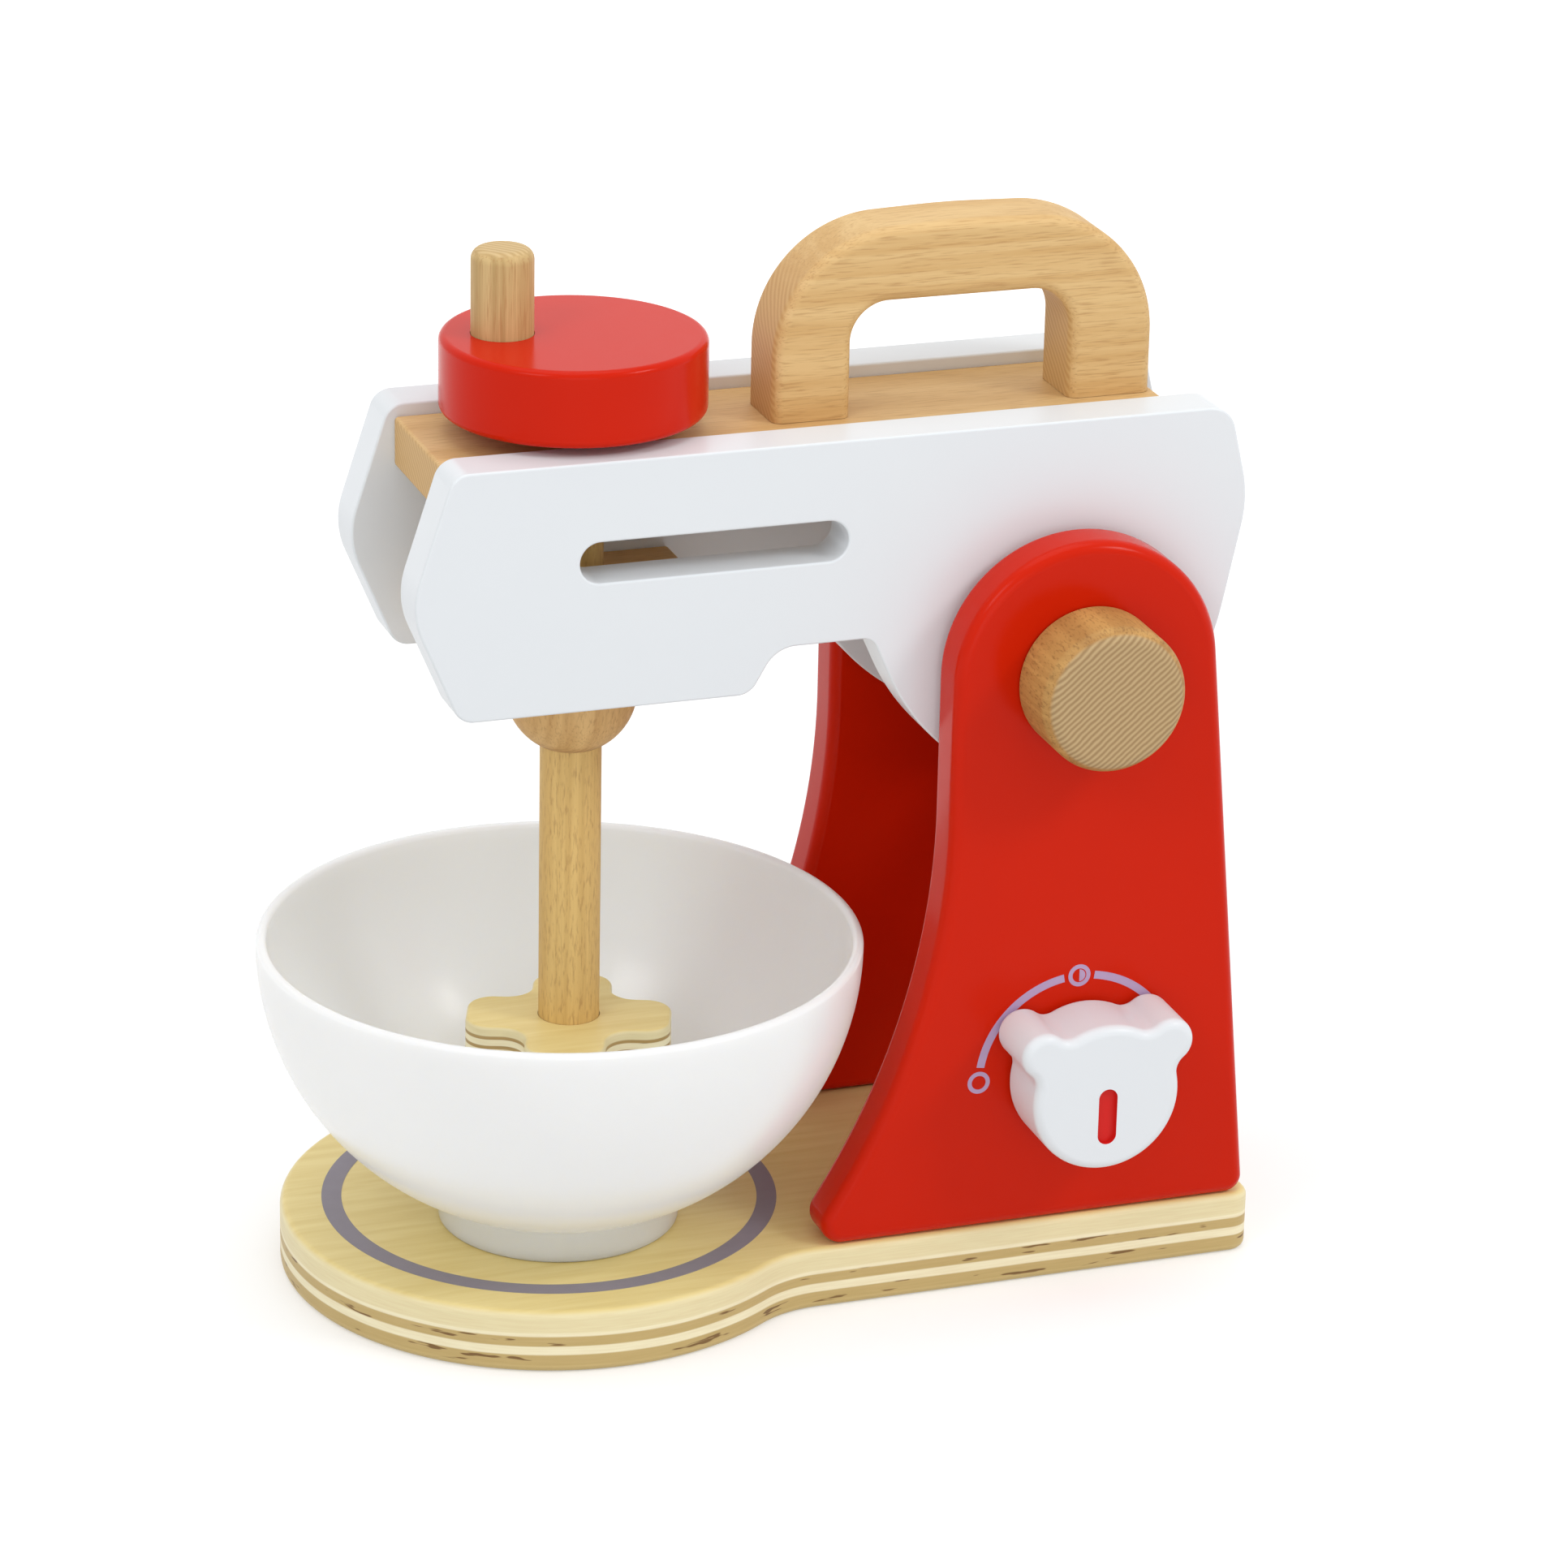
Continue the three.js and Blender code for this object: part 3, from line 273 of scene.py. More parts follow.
def hand_over(piece, body, nodes=()):
    """Let a piece ride on its body, and stand for its solids."""
    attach(piece, body)
    if nodes:
        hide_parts(*nodes)
    low, high = (Vector(piece.bound_box[i]) * 1000 for i in (0, 6))
    print(f"{piece.name}: {len(piece.data.polygons)} faces, "
          + " x ".join(f"{side:.1f}" for side in high - low) + " mm")


def complete(piece, material, body, node):
    """Smooth a piece, give it its finish, and hand it over in its solid's place."""
    smooth(piece)
    dress(piece, material)
    hand_over(piece, body, [node])


# %% [markdown]
# What comes in pairs or sets is made once. Each further one is a copy with a mesh of its own.
# Mirroring turns a mesh inside out, so the faces of a mirrored piece are turned outwards again.

# %% Copies and mirror images
def copied(piece, name, shift=(0, 0, 0)):
    """A second one of a piece, with a mesh of its own, moved by so many millimetres."""
    pick(piece)
    bpy.ops.object.duplicate(linked=False)
    bpy.ops.transform.translate(value=Vector(shift) * MM)
    return added(name)


def mirrored(piece, name):
    """The same piece on the far side of the toy, its faces turned outwards again."""
    twin = copied(piece, name)
    bpy.ops.transform.resize(value=(1, -1, 1), center_override=(0, 0, 0))
    settle()
    bpy.ops.object.mode_set(mode='EDIT')
    face_outwards()
    return twin


def complete_pair(near, material, body, node):
    """Complete a piece of the near side and its mirror image on the far side."""
    far = mirrored(near, near.name.replace("near", "far"))
    for piece, side in ((near, "near"), (far, "far")):
        complete(piece, material, body, f"{node}_{side}")


# %% [markdown]
# ## Colours and shader nodes
#
# Colours are read off as sRGB hex values, and the shader wants linear ones, so one function turns
# them. Patterns are given in millimetres: a pattern that repeats every so many millimetres runs at
# a thousand divided by that per metre.

# %% Colours in linear light
def linear(hex_colour):
    """An sRGB hex colour as the four linear values that the shader wants."""
    channels = [int(hex_colour[i:i + 2], 16) / 255 for i in (1, 3, 5)]
    return (*(c / 12.92 if c <= 0.04045 else ((c + 0.055) / 1.055) ** 2.4 for c in channels), 1.0)


print("mid grey is", round(linear("#808080")[0], 3), "in linear light")


# %% A new material, and one function that adds a node
def fill_inputs(owner, node, inputs):
    """Set or link inputs: a pair's second is a value, a hex colour, a socket, or a node."""
    for name, value in inputs:
        if isinstance(value, str):
            value = linear(value)
        if isinstance(value, bpy.types.Node):
            value = value.outputs[0]
        if isinstance(value, bpy.types.NodeSocket):
            owner.node_tree.links.new(value, node.inputs[name])
        else:
            node.inputs[name].default_value = value


def add_node(owner, kind, inputs=(), stops=(), **settings):
    """Add a shader node with its settings and inputs, and the (place, colour) stops of a ramp."""
    node = owner.node_tree.nodes.new("ShaderNode" + kind)
    for name, value in settings.items():
        setattr(node, name, value)
    fill_inputs(owner, node, inputs)
    for i, (place, colour) in enumerate(stops):
        elements = node.color_ramp.elements
        stop = elements[i] if i < 2 else elements.new(place)
        stop.position = place
        stop.color = linear(colour)
    return node


def new_material(name):
    """A material, its shader, and the coordinates that its patterns follow."""
    material = bpy.data.materials.new(name)
    material.use_nodes = True
    shader = material.node_tree.nodes["Principled BSDF"]
    return material, shader, add_node(material, "TexCoord")


# %% [markdown]
# Three kinds of node come again and again: noise of a given size, a change of range, and a mix of
# two colours. A Mix node has sockets for every kind of data, so its colour ones go by number.

# %% Noise, range and mix
FIRST, SECOND, MIXED = 6, 7, 2


def noise(owner, place, size, detail, roughness=0.5):
    """Noise that is drawn out to a size along each axis, in millimetres."""
    drawn_out = add_node(owner, "Mapping", [
        ("Vector", place), ("Scale", tuple(1000 / length for length in size))])
    return add_node(owner, "TexNoise", [
        ("Vector", drawn_out), ("Scale", 1.0), ("Detail", detail), ("Roughness", roughness)])


def ranged(owner, value, source, target=(0, 1)):
    """A value moved from one range to another."""
    return add_node(owner, "MapRange", [
        ("Value", value), ("From Min", source[0]), ("From Max", source[1]),
        ("To Min", target[0]), ("To Max", target[1])])


def mixed(owner, factor, first, second):
    """The first colour where the factor is 0, and the second where it is 1."""
    return add_node(owner, "Mix", [
        ("Factor", factor), (FIRST, first), (SECOND, second)], data_type='RGBA').outputs[MIXED]


# %% [markdown]
# ### Sprayed lacquer
#
# The red and white pieces are wood under several coats of sprayed lacquer, rubbed to a satin
# gloss. What the eye gets is an even colour, soft highlights along the rounded edges, and a faint
# unevenness of the gloss. Real spray texture is about 1 mm across. That is too fine to show here
# other than as specks, so it is drawn 4 mm across, and very shallow.

# %% Sprayed lacquer, in red, white and the pointer's red
SPRAY_WIDTH, CLOUD_WIDTH, SPRAY_DEPTH = 4, 45, 0.01


def sprayed_lacquer(name, colour, cloudy, roughness, specular):
    """A colour that drifts towards a cloudy one, under a satin gloss."""
    material, shader, place = new_material(name)
    clouds = noise(material, place.outputs["Object"], [CLOUD_WIDTH] * 3, 3.0)
    spray = noise(material, place.outputs["Object"], [SPRAY_WIDTH] * 3, 2.0)
    gloss = ranged(material, spray, (0.3, 0.7), (roughness - 0.02, roughness + 0.02))
    relief = add_node(material, "Bump", [
        ("Height", spray), ("Strength", 0.3), ("Distance", SPRAY_DEPTH * MM)])
    fill_inputs(material, shader, [
        ("Base Color", mixed(material, clouds, colour, cloudy)), ("Roughness", gloss),
        ("Normal", relief), ("Specular IOR Level", specular)])
    print(name, "drifts over", CLOUD_WIDTH, "mm")
    return material


lacquer_sprayed_red = sprayed_lacquer("lacquer_sprayed_red", "#CE2104", "#C81E03", 0.2, 0.1)
lacquer_sprayed_white = sprayed_lacquer("lacquer_sprayed_white", "#E3E7EA", "#E0E4E8", 0.3, 0.3)
lacquer_brushed_red = sprayed_lacquer("lacquer_brushed_red", "#D8241E", "#D01E1A", 0.4, 0.2)

# %% [markdown]
# ### Wood that looks another way where it is cut
#
# A board's sawn end looks unlike its side, and plywood's edge unlike its face. The normal of the
# surface says which way it faces, so its size along one axis can mix the two colours.

# %% Mixing by the way a surface faces
def mixed_by_facing(material, place, axis, from_here, to_here, side_colour, end_colour):
    """One colour on the sides, and another where the surface faces along the axis."""
    facing = add_node(material, "SeparateXYZ", [("Vector", place.outputs["Normal"])])
    along = add_node(material, "Math", [(0, facing.outputs[axis])], operation='ABSOLUTE')
    return mixed(material, ranged(material, along, (from_here, to_here)), side_colour, end_colour)


# %% [markdown]
# Flecks, fibres and gaps are all the peaks of a noise that is drawn out to a size of its own along
# each axis. They are mixed over the colour beneath, everywhere or in some places only.

# %% Specks of another colour
def speckled(material, place, under, over, size, peaks, strength, detail=2.0, where=1.0):
    """A colour with specks of another over it, and the noise that they come from."""
    pattern = noise(material, place, size, detail)
    kept = add_node(material, "Math", [
        (0, ranged(material, pattern, peaks, (0, strength))), (1, where)], operation='MULTIPLY')
    return mixed(material, kept, under, over), pattern


# %% [markdown]
# ### Beech
#
# Handle, plate, peg, shaft and knobs are beech, planed or turned and then oiled, which leaves it
# nearly matt. Along the grain the eye gets pale orange-brown wood in soft streaks, one for every
# few years' growth, and short darker flecks, a few millimetres long and under half a millimetre
# wide. Streaks and flecks are noise that is drawn out along the grain.

# %% Beech along its grain
FLECK_DEPTH = 0.05


def along_the_grain(material, turned, light, dark, fleck, streak_width, fleck_size):
    """The colour of the streaked and flecked wood, and the relief of its flecks."""
    streaks = noise(material, turned, (120, streak_width * 4, streak_width), 3.0, roughness=0.6)
    wood = add_node(material, "ValToRGB", [("Fac", streaks)], stops=[(0.36, dark), (0.62, light)])
    length, width = fleck_size
    flecked, flecks = speckled(material, turned, wood, fleck, size=(length, width, width),
                               peaks=(0.52, 0.70), strength=0.55)
    relief = add_node(material, "Bump", [
        ("Height", flecks), ("Strength", 0.25), ("Distance", FLECK_DEPTH * MM)])
    return flecked, relief


# %% [markdown]
# Sawn across, beech shows its year rings as slightly wavy lines, and the open ends drink more oil
# and turn darker. Real rings are about a millimetre apart. They are drawn a little wider, at 1.2 to
# 1.5 mm, so that they show. A Wave texture with bands repeats every 2 pi / 20 of its scale, hence
# the factor. The rings lean by 40 degrees, as they do on the knob in the photograph.

# %% Beech across its grain
def across_the_grain(material, turned, end, end_ring, ring_spacing):
    """The colour of the year rings on wood that is sawn across."""
    leaned = add_node(material, "Mapping", [
        ("Vector", turned), ("Rotation", (math.radians(-40), 0, 0))])
    year_rings = add_node(material, "TexWave", [
        ("Vector", leaned), ("Scale", math.tau / 20 * 1000 / ring_spacing),
        ("Distortion", 3.5), ("Detail", 4.0), ("Detail Scale", 0.5)], bands_direction='Z')
    return mixed(material, year_rings.outputs["Fac"], end_ring, end)


# %% [markdown]
# One function joins the two, and is told which way the grain of the piece runs. The pattern is
# turned to that axis first, and where the surface faces along the grain, it shows the year rings.

# %% Beech, planed or turned, then oiled
GRAIN_TURNS = {"X": (0, 0, 0), "Y": (0, 0, 90), "Z": (0, 90, 0)}


def oiled_beech(name, grain, light="#DDBA82", dark="#D0A86E", fleck="#B08350",
                streak_width=3.0, fleck_size=(7.0, 0.35), end="#C79A66", end_ring="#A67C4E",
                ring_spacing=1.5):
    """Beech with its grain along one axis."""
    material, shader, place = new_material(name)
    turned = add_node(material, "Mapping", [
        ("Vector", place.outputs["Object"]),
        ("Rotation", tuple(math.radians(angle) for angle in GRAIN_TURNS[grain]))])
    side_colour, relief = along_the_grain(
        material, turned, light, dark, fleck, streak_width, fleck_size)
    end_colour = across_the_grain(material, turned, end, end_ring, ring_spacing)
    colour = mixed_by_facing(material, place, grain, 0.7, 0.85, side_colour, end_colour)
    fill_inputs(material, shader, [
        ("Base Color", colour), ("Normal", relief), ("Roughness", 0.55),
        ("Specular IOR Level", 0.3)])
    print(name, "has its grain along", grain)
    return material


# %% [markdown]
# Each use of beech has tones of its own: the knobs are the darkest, with the shortest flecks, and
# the shaft is the most golden.

# %% The beech of each piece
beech_planed = oiled_beech("beech_planed_along_x", "X", end="#D2AE76", end_ring="#C49A62")
beech_dowel_across = oiled_beech("beech_dowel_across", "Y")
beech_dowel_peg = oiled_beech(
    "beech_dowel_peg", "Z", light="#D2B47E", dark="#BA9B66", streak_width=1.4,
    end="#D2B684", end_ring="#BE9E6A")
beech_dowel_shaft = oiled_beech(
    "beech_dowel_shaft", "Z", light="#E4C07A", dark="#D6B06C", streak_width=1.6,
    fleck_size=(3.0, 0.45))
beech_turned_knob = oiled_beech(
    "beech_turned_knob", "Y", light="#C49656", dark="#A87A42", fleck="#7C5228",
    fleck_size=(1.6, 0.5), end="#C0A478", end_ring="#9C7E56", ring_spacing=1.2)
beech_turned_ball = oiled_beech(
    "beech_turned_ball", "Z", light="#E0B87C", dark="#CCA066", fleck_size=(2.5, 0.4))

# %% [markdown]
# ### Birch plywood
#
# Base and beater are birch plywood, sawn, sanded and clear-coated. Its plies lie crosswise in turn:
# one shows long pale fibres at the edge, the next shows tan or brown end grain. The plies follow
# the height in the board, so a ramp over Z paints them, rippled by half a millimetre. On the base,
# the same ramp also paints a thin dark grey-brown band of shade along the bottom edge.

# %% The plies of the two boards
CREAM, PALE, TAN, BROWN = "#FAF0CC", "#EEE1B4", "#C4AA70", "#B0915A"
# Where each band starts, as a share of the board's thickness from below, and its colour. The base's
# lowest band, #98845A, is painted shade along its bottom edge, not a ply.
BASE_PLIES_AND_BOTTOM_SHADE = [(0.0, "#98845A"), (0.05, "#CDB47A"), (0.14, TAN), (0.31, CREAM), (0.45, TAN),
               (0.61, CREAM), (0.67, PALE)]
THIN_PLIES = [(0.0, PALE), (0.16, BROWN), (0.25, CREAM), (0.42, BROWN), (0.51, CREAM),
              (0.68, BROWN), (0.77, PALE)]
RIPPLE, RIPPLE_WIDTH = 0.5, 30


def sawn_plies(material, place, bottom, thickness, plies):
    """The colours of the bands by height, plies and any painted shade, and white where a ply may
    have gaps.
    """
    waves = noise(material, place, [RIPPLE_WIDTH] * 3, 1.0)
    height = add_node(material, "SeparateXYZ", [("Vector", place)])
    rippled = add_node(material, "Math", [
        (0, waves), (1, RIPPLE * MM), (2, height.outputs["Z"])], operation='MULTIPLY_ADD')
    level = ranged(material, rippled, (bottom * MM, (bottom + thickness) * MM))
    ends = [start for start, _ in plies[1:]] + [1.0]
    colours, gappy = [], []
    for (start, colour), end in zip(plies, ends):
        gap = "#FFFFFF" if colour in (TAN, BROWN) else "#000000"
        colours += [(start + 0.01, colour), (end - 0.01, colour)]
        gappy += [(start + 0.01, gap), (end - 0.01, gap)]
    return [add_node(material, "ValToRGB", [("Fac", level)], stops=stops)
            for stops in (colours, gappy)]


# %% [markdown]
# The edge has fine fibres, and where the veneer was knotty, small dark gaps in the tan and brown
# plies, a centimetre long and over a millimetre high. The flat faces show one veneer with its long,
# faint grain, mixed in where the surface faces up or down. The clear coat gives a soft sheen.

# %% Birch plywood, sawn, sanded and clear-coated
def clear_coated_plywood(name, bottom, thickness, plies):
    material, shader, coordinates = new_material(name)
    place = coordinates.outputs["Object"]
    veneers, may_gap = sawn_plies(material, place, bottom, thickness, plies)
    fibred, _ = speckled(material, place, veneers, "#D8BE88", size=(9, 9, 0.45),
                         peaks=(0.35, 0.7), strength=0.25, detail=3.0)
    edge_colour, _ = speckled(material, place, fibred, "#6E4A26", size=(11, 11, 1.5),
                              peaks=(0.62, 0.66), strength=0.85, where=may_gap)
    face = add_node(material, "ValToRGB", [("Fac", noise(material, place, (30, 3, 3), 5.0))],
                    stops=[(0.35, "#E7D08A"), (0.65, "#F0DC9B")])
    colour = mixed_by_facing(material, coordinates, "Z", 0.5, 0.9, edge_colour, face)
    fill_inputs(material, shader, [
        ("Base Color", colour), ("Roughness", 0.42), ("Specular IOR Level", 0.3)])
    print(name, "shows", len(plies), "plies in", thickness, "mm")
    return material


BASE_THICKNESS = 15
BEATER_BOTTOM, BEATER_THICKNESS = 51, 9
# The base's bands end below in painted shade along its bottom edge.
plywood_base = clear_coated_plywood(
    "birch_plywood_clear_coated", 0, BASE_THICKNESS, BASE_PLIES_AND_BOTTOM_SHADE)
plywood_beater = clear_coated_plywood(
    "birch_plywood_beater", BEATER_BOTTOM, BEATER_THICKNESS, THIN_PLIES)

# %% [markdown]
# ### Bowl, ink and screws
#
# The bowl is moulded melamine: an even white with a soft gloss, and light goes some
# millimetres into it, which evens out its shadows. The marks are screen-printed ink, flat and
# matt. The screws are zinc-plated steel, a slightly cloudy grey metal.

# %% Moulded melamine, printed ink, zinc-plated steel
def plain_finish(name, colour, second, patch, roughness, metallic=0.0):
    """A finish of one colour that drifts a little over patches of a given size."""
    material, shader, place = new_material(name)
    drift = noise(material, place.outputs["Object"], [patch] * 3, 2.0)
    gloss = ranged(material, drift, (0, 1), (roughness - 0.03, roughness + 0.03))
    fill_inputs(material, shader, [
        ("Base Color", mixed(material, drift, colour, second)), ("Roughness", gloss),
        ("Metallic", metallic)])
    print(name, "has a roughness of about", roughness)
    return material


melamine_moulded_white = plain_finish("melamine_moulded_white", "#F0F3F2", "#ECEFEE", 40, 0.24)
LIGHT_DEPTH = 8
bowl_shader = melamine_moulded_white.node_tree.nodes["Principled BSDF"]
fill_inputs(melamine_moulded_white, bowl_shader, [
    ("Subsurface Weight", 1.0), ("Subsurface Radius", (1.0, 0.95, 0.85)),
    ("Subsurface Scale", LIGHT_DEPTH * MM)])
ink_printed_lilac = plain_finish("ink_printed_lilac", "#B79CC0", "#B096BA", 3, 0.5)
ink_printed_grey = plain_finish("ink_printed_grey", "#8C8591", "#857E8A", 4, 0.5)
steel_zinc_plated = plain_finish("steel_zinc_plated", "#B5B5B2", "#A6A7A6", 2, 0.34, metallic=1.0)

# %% [markdown]
# ## Base board
#
# A plywood disc under the bowl runs through two hollow necks into the board under the stand. The
# outline is drawn from arcs about the same centres as the saw's template.

# %% Base board
AXLE = Vector((106.3, 147.8))
STAND_OUT = 46.5
DISC_CENTRE, DISC_RADIUS = Vector((-4.4, 0)), 62.3
NECK_RADIUS, CORNER_RADIUS, TAIL_END = 25, 5, 153

neck_out = STAND_OUT + NECK_RADIUS
neck_x = DISC_CENTRE.x + math.sqrt((DISC_RADIUS + NECK_RADIUS) ** 2 - neck_out ** 2)
neck_turn = 90 - math.degrees(math.atan2(neck_out, neck_x - DISC_CENTRE.x))
corner_x, corner_y = TAIL_END - CORNER_RADIUS, STAND_OUT - CORNER_RADIUS
base_strokes = [
    ("to", (neck_x, -STAND_OUT)),
    ("to", (corner_x, -STAND_OUT)),
    ("about", (corner_x, -corner_y), 90),
    ("to", (TAIL_END, corner_y)),
    ("about", (corner_x, corner_y), 90),
    ("to", (neck_x, STAND_OUT)),
    ("about", (neck_x, neck_out), -neck_turn),
    ("about", DISC_CENTRE, 180 + 2 * neck_turn),
    ("about", (neck_x, -neck_out), -neck_turn),
]
base = sawn_board("base_plywood", base_strokes, "lying", 0, BASE_THICKNESS)
round_over(base, 1.8)
complete(base, plywood_base, "stand", "base_board")

# %% [markdown]
# ## Side panels of the stand
#
# Each panel has a flared foot, a hollow front edge and an arch about the tilt axle. The near one is
# drawn, sanded and lacquered, and the far one is its mirror image, with a mesh of its own.

# %% Stand panels
ARCH_RADIUS, FOOT_HEIGHT, STAND_THICKNESS = 31.5, 15.1, 12.5
TOE, TAIL = Vector((42.9, FOOT_HEIGHT)), Vector((150.9, FOOT_HEIGHT))
HOLLOW = Vector((AXLE.x - ARCH_RADIUS, 68.5))

to_axle = AXLE - TAIL
rise = math.degrees(math.atan2(to_axle.y, to_axle.x) - math.asin(ARCH_RADIUS / to_axle.length))
arch_start = on_circle(AXLE, ARCH_RADIUS, rise - 90)
foot = rounded_corners([
    (*HOLLOW, 171), (*TOE, 5), (*TAIL, 4), (*arch_start, 0), (HOLLOW.x, AXLE.y, 0)])
stand_strokes = foot[:-1] + [("about", AXLE, 180 - (rise - 90))]
near_stand = sawn_board(
    "stand_side_near", stand_strokes, "standing", -STAND_OUT, STAND_THICKNESS)
round_over(near_stand, 2.8, segments=6)


def drill_for_axle(piece, radius, outer, inner):
    """Bore along Y, on the axle's line."""
    drill(piece, radius, (AXLE.x, outer, AXLE.y), (AXLE.x, inner, AXLE.y))


drill_for_axle(near_stand, TURNING_BORE, -STAND_OUT - PAST, STAND_THICKNESS + PAST - STAND_OUT)
complete_pair(near_stand, lacquer_sprayed_red, "stand", "stand_panel")

# %% [markdown]
# The block across the back holds the two panels apart, and the head's heel comes to rest on it. A
# cube with its edges sanded is all it is, lacquered with the stand.

# %% Back block
def planed_block(name, low, high):
    """A block between two corners, in millimetres."""
    low, high = Vector(low) * MM, Vector(high) * MM
    bpy.ops.mesh.primitive_cube_add(size=1, location=(low + high) / 2, scale=high - low)
    return added(name)


block_box = [Vector(corner) * 1000 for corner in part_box("stand_back_block")]
back = planed_block("stand_back", *block_box)
round_over(back, 1.6)
complete(back, lacquer_sprayed_red, "stand", "stand_back_block")

# %% [markdown]
# ## Head panels
#
# The head's outline steps up behind the shaft, swells round the axle and comes to a heel behind
# it. The long slot is cut before the edges are sanded, so its rims are rounded with the rest.

# %% Head panels with their slots
head_strokes = rounded_corners([
    (-36.6, 203.3, 5), (-46.6, 172.7, 19), (-35.2, 146.1, 5), (31.5, 146.1, 5), (37.5, 156.5, 8),
    (60.0, 156.5, 3.5), (72.7, 128.4, 54), (118.0, 108.0, 9), (142.4, 147.0, 50),
    (149.4, 181.5, 30), (144.2, 203.3, 6.5)])
SLOT_RADIUS, SLOT_HEIGHT = 4.7, 180.3
SLOT_FROM, SLOT_TO = -8.1 + SLOT_RADIUS, 53.8 - SLOT_RADIUS
slot_strokes = round_ended((SLOT_FROM, SLOT_HEIGHT), (SLOT_TO, SLOT_HEIGHT), SLOT_RADIUS)
HEAD_OUT, HEAD_THICKNESS = 32, 12
near_head = sawn_board("head_side_near", head_strokes, "standing", -HEAD_OUT, HEAD_THICKNESS)
cut_away(near_head, sawn_board(
    "slot_cutter", slot_strokes, "standing", -HEAD_OUT - PAST, HEAD_THICKNESS + 2 * PAST))
round_over(near_head, 2)
drill_for_axle(near_head, GLUED_BORE, -HEAD_OUT - PAST, HEAD_THICKNESS + PAST - HEAD_OUT)
complete_pair(near_head, lacquer_sprayed_white, "head", "head_panel")

# %% [markdown]
# ## Between the head panels
#
# The top plate lies a little below the panels' edge, and the bearing block lower down steadies the
# shaft. Both are planed beech with bores that the shaft turns in.

# %% Top plate and bearing block
HALF_WIDTH, PLATE_FRONT, PLATE_REAR, PLATE_BOTTOM, PLATE_TOP = 19.9, -35.5, 135.5, 189, 200.5
BEARING_REACH, BEARING_BOTTOM, BEARING_TOP = 29, 149.2, 164.2


def drill_for_shaft(piece, radius, low, high):
    """Bore along Z, on the shaft's line."""
    drill(piece, radius, (0, 0, low), (0, 0, high))


plate = planed_block("head_plate", (PLATE_FRONT, -HALF_WIDTH, PLATE_BOTTOM),
                     (PLATE_REAR, HALF_WIDTH, PLATE_TOP))
round_over(plate, 1)
drill_for_shaft(plate, TURNING_BORE, PLATE_BOTTOM - PAST, PLATE_TOP + PAST)
bearing = planed_block("head_bearing", (-BEARING_REACH, -HALF_WIDTH, BEARING_BOTTOM),
                       (BEARING_REACH, HALF_WIDTH, BEARING_TOP))
round_over(bearing, 1)
drill_for_shaft(bearing, TURNING_BORE, BEARING_BOTTOM - PAST, BEARING_TOP + PAST)
complete(plate, beech_planed, "head", "top_plate")
complete(bearing, beech_planed, "head", "bearing_block")

# %% [markdown]
# ## Carry handle
#
# The bow is sawn from one board, and sanded round all over before it is fixed. So the outline runs
# past the feet, is rounded, and is then sawn off square where the feet stand on the plate.

# %% Carry handle
HANDLE_FRONT, HANDLE_REAR, HANDLE_FOOT, SHOULDER, CROWN = 43.7, 134.1, 200.6, 242.7, 244.3
GAP_FRONT, GAP_REAR, GRIP, SAW_LINE = 62.0, 114.1, 226.6, HANDLE_FOOT - 4
handle_strokes = rounded_corners([
    (HANDLE_FRONT, SAW_LINE, 0), (GAP_FRONT, SAW_LINE, 0), (GAP_FRONT, GRIP, 9),
    (GAP_REAR, GRIP, 9), (GAP_REAR, SAW_LINE, 0), (HANDLE_REAR, SAW_LINE, 0),
    (HANDLE_REAR, SHOULDER, 29), ((HANDLE_FRONT + HANDLE_REAR) / 2, CROWN, 200),
    (HANDLE_FRONT, SHOULDER, 29)])
handle = sawn_board("carry_bow", handle_strokes, "standing", -9, 18)
round_over(handle, 2.5, segments=6)
saw_off(handle, HANDLE_FOOT, above=False)
complete(handle, beech_planed, "head", "carry_handle")

# %% [markdown]
# ## Crank: disc, peg, spacer and shaft
#
# A child turns the red disc by its peg. All of these came off a lathe, so each starts as a round
# bar and has its edges rounded, and the peg's crown is a rounding almost as wide as the peg.

# %% Crank disc
PEG = on_circle((0, 0), 15.7, 180 - 14.4)
WHEEL_RADIUS, WHEEL_BOTTOM, WHEEL_TOP, BORE_DEPTH = 29.8, 205.4, 222.9, 10.5
PEG_FOOT, PEG_TOP, PEG_ROUNDING, SHAFT_TOP = 212.9, 242.4, 2.6, 217.4
disc = round_bar(
    "crank_wheel", WHEEL_RADIUS, (0, 0, WHEEL_BOTTOM), (0, 0, WHEEL_TOP), sides=160)
round_over(disc, 1.7)
drill(disc, GLUED_BORE, (*PEG, WHEEL_TOP - BORE_DEPTH), (*PEG, WHEEL_TOP + PAST))
drill_for_shaft(disc, GLUED_BORE, WHEEL_BOTTOM - PAST, SHAFT_TOP + 0.5)
complete(disc, lacquer_sprayed_red, "crank", "crank_disc")

# %% Peg, spacer and shaft
def round_end(piece, radius, at_end, segments=10):
    """Round one end of a bar, whose vertices are known by their place."""
    pick(piece)
    bpy.ops.object.mode_set(mode='EDIT')
    bpy.ops.mesh.select_mode(type='EDGE')
    bpy.ops.mesh.select_all(action='DESELECT')
    bpy.ops.object.mode_set(mode='OBJECT')
    for edge in piece.data.edges:
        edge.select = all(at_end(piece.data.vertices[i].co) for i in edge.vertices)
    bpy.ops.object.mode_set(mode='EDIT')
    bpy.ops.mesh.bevel(offset=radius * MM, segments=segments, affect='EDGES')
    bpy.ops.object.mode_set(mode='OBJECT')


